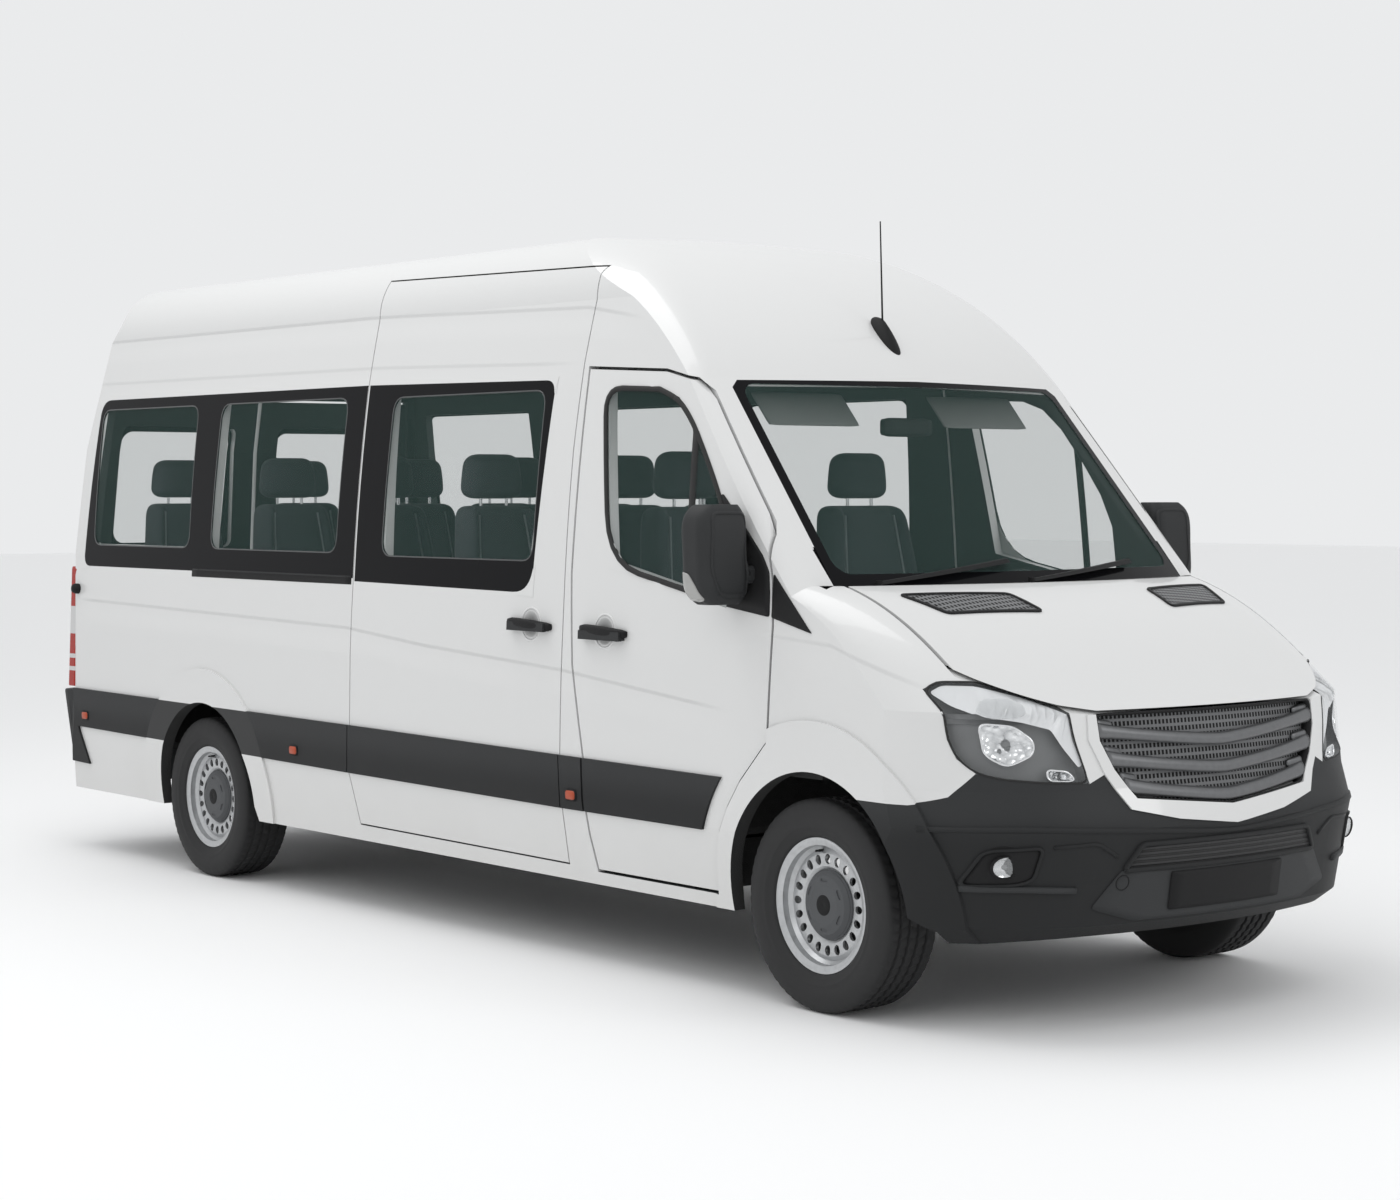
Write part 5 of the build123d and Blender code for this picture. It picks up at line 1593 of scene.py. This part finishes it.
class MINIBUS_OT_cab(Dressing):
    """Adds the steering wheel's rim, the instrument hood, vents and the sun visors"""

    bl_idname = "minibus.cab"
    bl_label = "Cab"

    def dress(self, sizes):
        tilt = math.radians(48)
        axis = Vector((-math.cos(tilt), 0, math.sin(tilt)))
        hub = Vector((front_axle - 0.600, 0.430, 1.265))
        turns = [2 * math.pi * k / 12 for k in range(13)]
        rim = [(0.015 * math.sin(turn), 0.1915 + 0.0165 * math.cos(turn)) for turn in turns]
        boss = ((0.034, 0.0), (0.033, 0.030), (0.028, 0.055), (0.018, 0.068), (0.0, 0.070))
        for name, profile, count in (("rim", rim, 64), ("boss", boss, 32)):
            points, faces = spun(profile, hub, axis, count)
            add_piece(f"steering_{name}", points, faces, "steering_wheel", "dash")
        rear, low, high = front_axle - 0.474, 1.215, 1.385
        points, faces = rounded_block(
            (rear, 0.262, low), (front_axle - 0.190, 0.598, high), 0.070, 10)
        for point in points:
            share = (point.x - rear) / 0.284
            point.z = low + (point.z - low) * (1.0 - 0.35 * share ** 2)
        add_piece("instrument_hood", points, faces, "body", "dash")
        low, high = 1.020, 1.362
        points, faces = rounded_block(
            (front_axle - 0.470, -0.190, low), (front_axle - 0.250, 0.190, high), 0.050, 8)
        for point in points:
            point.x -= 0.06 * max(0.0, (high - point.z) / (high - low)) - 0.03
        add_piece("centre_console", points, faces, "body", "dash")
        for number, across in enumerate((-0.800, -0.560, 0.700)):
            points, faces = rounded_block(
                (front_axle - 0.452, across - 0.070, 1.180),
                (front_axle - 0.420, across + 0.070, 1.262), 0.014, 5)
            add_piece(f"dash_vent_{number}", points, faces, "body", "slats")
        for number, across in enumerate((-0.420, 0.420)):
            points, faces = rounded_block(
                (-0.012, across - 0.210, -0.085), (0.012, across + 0.210, 0.085), 0.011, 8)
            placed = [
                (front_axle - 0.690 + p.z * -0.62 + p.x * 0.7, p.y, 1.985 + p.z * 0.70)
                for p in points
            ]
            add_solid(f"sun_visor_{number}", placed, faces, "body", "visor")
        points, faces = rounded_block((-0.02, -0.120, -0.034), (0.02, 0.120, 0.034), 0.018, 6)
        points = [point + Vector((front_axle - 0.620, 0.0, 1.925)) for point in points]
        add_piece("inside_mirror", points, faces, "body", "trim_dark")


# Blocks round the rear corners: (name, material, slot, lean forward and inward per metre up,
# plan as (ahead, across), levels as (height, share that the plan shrinks by)).
CORNER_BLOCKS = (
    ("tail_lens", "tail_lens", "lamp_red", -0.022, 0.030,
     ((-5.395, 0.893), (-5.334, 0.893), (-5.334, 0.991), (-5.345, 0.999), (-5.388, 1.002),
      (-5.402, 0.997), (-5.410, 0.984), (-5.411, 0.955), (-5.411, 0.893)),
     ((0.773, 0.05), (0.778, 0.0), (1.326, 0.0), (1.336, 0.04), (1.340, 0.10))),
    ("rear_bumper_corner", "trim", "dark_trim", 0.16, -0.06,
     ((-5.400, 0.860), (-5.340, 0.960), (-5.340, 1.000), (-5.400, 1.007), (-5.430, 1.004),
      (-5.450, 0.991), (-5.468, 0.962), (-5.482, 0.915), (-5.489, 0.860)),
     ((0.424, 0.06), (0.432, 0.0), (0.744, 0.0), (0.753, 0.04), (0.756, 0.10))),
)
LEAN_HEIGHT = 0.76  # height at which the blocks' plans are drawn


class MINIBUS_OT_tail(Dressing):
    """Finishes the tail lamps and adds hinges, handle, plate panel and stop lamp"""

    bl_idname = "minibus.tail"
    bl_label = "Tail"

    def dress(self, sizes):
        finish_nodes(("tail_lamps",), ("tail_lens", None))
        for side, hand in SIDES.items():
            shell = Bed(side, skin_of(f"body_side_{side}"), "body")
            where, normal = shell.lay(*shell.place(-5.306, 1.236))
            knob = ((-0.004, 0.024), (0.018, 0.024), (0.030, 0.019), (0.034, 0.008), (0.034, 0.0))
            points, faces = spun(knob, where, normal, 24)
            add_piece(f"rear_hinge_stop_{side}", points, faces, "body", "trim_dark")
            for name, *block in CORNER_BLOCKS:
                self.corner(f"{name}_{side}", hand, *block)
            skin = skin_of(f"door_rear_{side}", f"door_glass_rear_{side}")
            door = Bed("rear", skin, f"door_rear_{side}", hand)
            for number, height in enumerate((0.760, 1.380, 2.040)):
                leaf = ((0.760, height - 0.020), (0.760, height + 0.020),
                        (0.835, height + 0.028), (0.835, height - 0.028))
                door.patch(f"rear_hinge_{number}_{side}", leaf, 0.008, "paint", "white_paint",
                           radius=0.01)
            if side == "right":
                grip = ((0.030, 1.190), (0.030, 1.245), (0.190, 1.245), (0.190, 1.190))
                door.patch("rear_door_handle", grip, 0.022, "trim_dark", "black_trim",
                           radius=0.018)
            rubber = ((0.112, 1.412), (0.797, 1.412), (0.752, 2.018), (0.112, 2.018))
            door.strip(f"rear_window_seal_{side}", rubber, 0.018, 0.003, "seal", "black_trim",
                       radius=0.05)
            if side == "left":
                door.patch("rear_plate_panel", box_outline(0.20, 0.72, 0.900, 1.020), 0.004,
                           "trim_dark", "dark_trim", radius=0.012)
        roof = Bed("rear", skin_of("roof"), "body")
        roof.patch("high_stop_lamp", box_outline(-0.150, 0.150, 2.300, 2.330), 0.010, "red",
                   "lamp_red", radius=0.012)

    def corner(self, name, hand, material, slot, forward, inward, plan, levels):
        """Upright block round a rear corner."""
        count = len(plan)
        centre = middle_of([Vector(spot) for spot in plan])
        points = []
        for height, inset in levels:
            rise = height - LEAN_HEIGHT
            for spot in plan:
                place = centre + (Vector(spot) - centre) * (1.0 - inset)
                points.append((
                    front_axle + place.x - forward * rise, hand * (place.y - inward * rise), height,
                ))
        faces = tube_faces(count, len(levels))
        faces += [tuple(range(count)), tuple(range(len(points) - count, len(points)))]
        add_solid(name, points, faces, "body", material, smooth=False)


# ------------------------------------------------------------------- stage
FLOOR_REACH = 60.0
# Soft lamps: (name, place, aim, size, power).
LAMPS = (
    ("overhead", (-1.0, -2.0, 7.5), (0, 0, 1), 5.0, 190.0),
    ("right_bank", (5.5, -8.0, 6.0), (0.5, 0, 1.2), 4.0, 60.0),
    ("front_bank", (10.0, 3.0, 5.0), (2.5, 0, 1.0), 3.0, 95.0),
)
CAMERA_PLACE = (9.017, -6.797, 1.701)
CAMERA_YAW, CAMERA_PITCH, CAMERA_ROLL = (math.radians(a) for a in (141.54, -2.29, -0.05))


class MINIBUS_OT_stage(Dressing):
    """Floor, lights and camera"""

    bl_idname = "minibus.stage"
    bl_label = "Stage"

    def dress(self, sizes):
        scene = bpy.context.scene
        finish = Finish("studio_floor", Roughness=0.75)
        finish.blend(finish.noise(0.4, 2.0) * 0.1, (0.93, 0.93, 0.93), (0.89, 0.89, 0.89))
        mesh = bpy.data.meshes.new("floor")
        corners = box_outline(-FLOOR_REACH, FLOOR_REACH, -FLOOR_REACH, FLOOR_REACH)
        mesh.from_pydata([(*corner, 0) for corner in corners], [], [(0, 1, 2, 3)])
        mesh.materials.append(finish.material)
        in_scene("floor", mesh)
        scene.view_settings.view_transform = "Standard"
        scene.world = scene.world or bpy.data.worlds.new("studio")
        scene.world.use_nodes = True
        background = scene.world.node_tree.nodes["Background"]
        background.inputs["Color"].default_value = (0.98, 0.99, 1.0, 1.0)
        background.inputs["Strength"].default_value = 0.84
        for name, place, aim, size, power in LAMPS:
            lamp = bpy.data.lights.new(name, "AREA")
            lamp.size = size
            lamp.energy = power
            holder = in_scene(name, lamp)
            holder.location = place
            look = Vector(aim) - Vector(place)
            holder.rotation_euler = look.to_track_quat("-Z", "Y").to_euler()
        view = bpy.data.cameras.new("view")
        view.lens = sizes.camera_lens
        view.sensor_width = 36.0
        camera = in_scene("view", view)
        level = math.cos(CAMERA_PITCH)
        look = Vector((
            level * math.cos(CAMERA_YAW), level * math.sin(CAMERA_YAW), math.sin(CAMERA_PITCH),
        ))
        turn = look.to_track_quat("-Z", "Y").to_matrix() @ Matrix.Rotation(CAMERA_ROLL, 3, "Z")
        camera.location = CAMERA_PLACE
        camera.rotation_euler = turn.to_euler()
        scene.camera = camera


class MINIBUS_PT_dressing(bpy.types.Panel):
    """Lists the dressing steps"""

    bl_idname = "MINIBUS_PT_dressing"
    bl_label = "Minibus"
    bl_space_type = "VIEW_3D"
    bl_region_type = "UI"
    bl_category = "Minibus"

    def draw(self, context):
        for step in STEPS:
            self.layout.operator(step.bl_idname)
        for group in (context.scene.minibus_paint, context.scene.minibus_sizes):
            for name in group.__annotations__:
                self.layout.prop(group, name)


STEPS = (
    MINIBUS_OT_panels, MINIBUS_OT_trim, MINIBUS_OT_underside, MINIBUS_OT_windows,
    MINIBUS_OT_window_trim, MINIBUS_OT_side_details, MINIBUS_OT_grille,
    MINIBUS_OT_bumper_details, MINIBUS_OT_headlamps, MINIBUS_OT_bonnet_details,
    MINIBUS_OT_wheels, MINIBUS_OT_seats, MINIBUS_OT_cab, MINIBUS_OT_tail, MINIBUS_OT_stage,
)


CLASSES = (MinibusPaint, MinibusSizes, *STEPS, MINIBUS_PT_dressing)


def register():
    for group in CLASSES:
        bpy.utils.register_class(group)
    bpy.types.Scene.minibus_paint = bpy.props.PointerProperty(type=MinibusPaint)
    bpy.types.Scene.minibus_sizes = bpy.props.PointerProperty(type=MinibusSizes)


def unregister():
    del bpy.types.Scene.minibus_sizes
    del bpy.types.Scene.minibus_paint
    for group in reversed(CLASSES):
        bpy.utils.unregister_class(group)


def main():
    register()
    make_materials(bpy.context.scene.minibus_paint)
    for step in STEPS:
        getattr(bpy.ops.minibus, step.bl_idname.split(".")[1])()


if __name__ == "__main__":
    main()
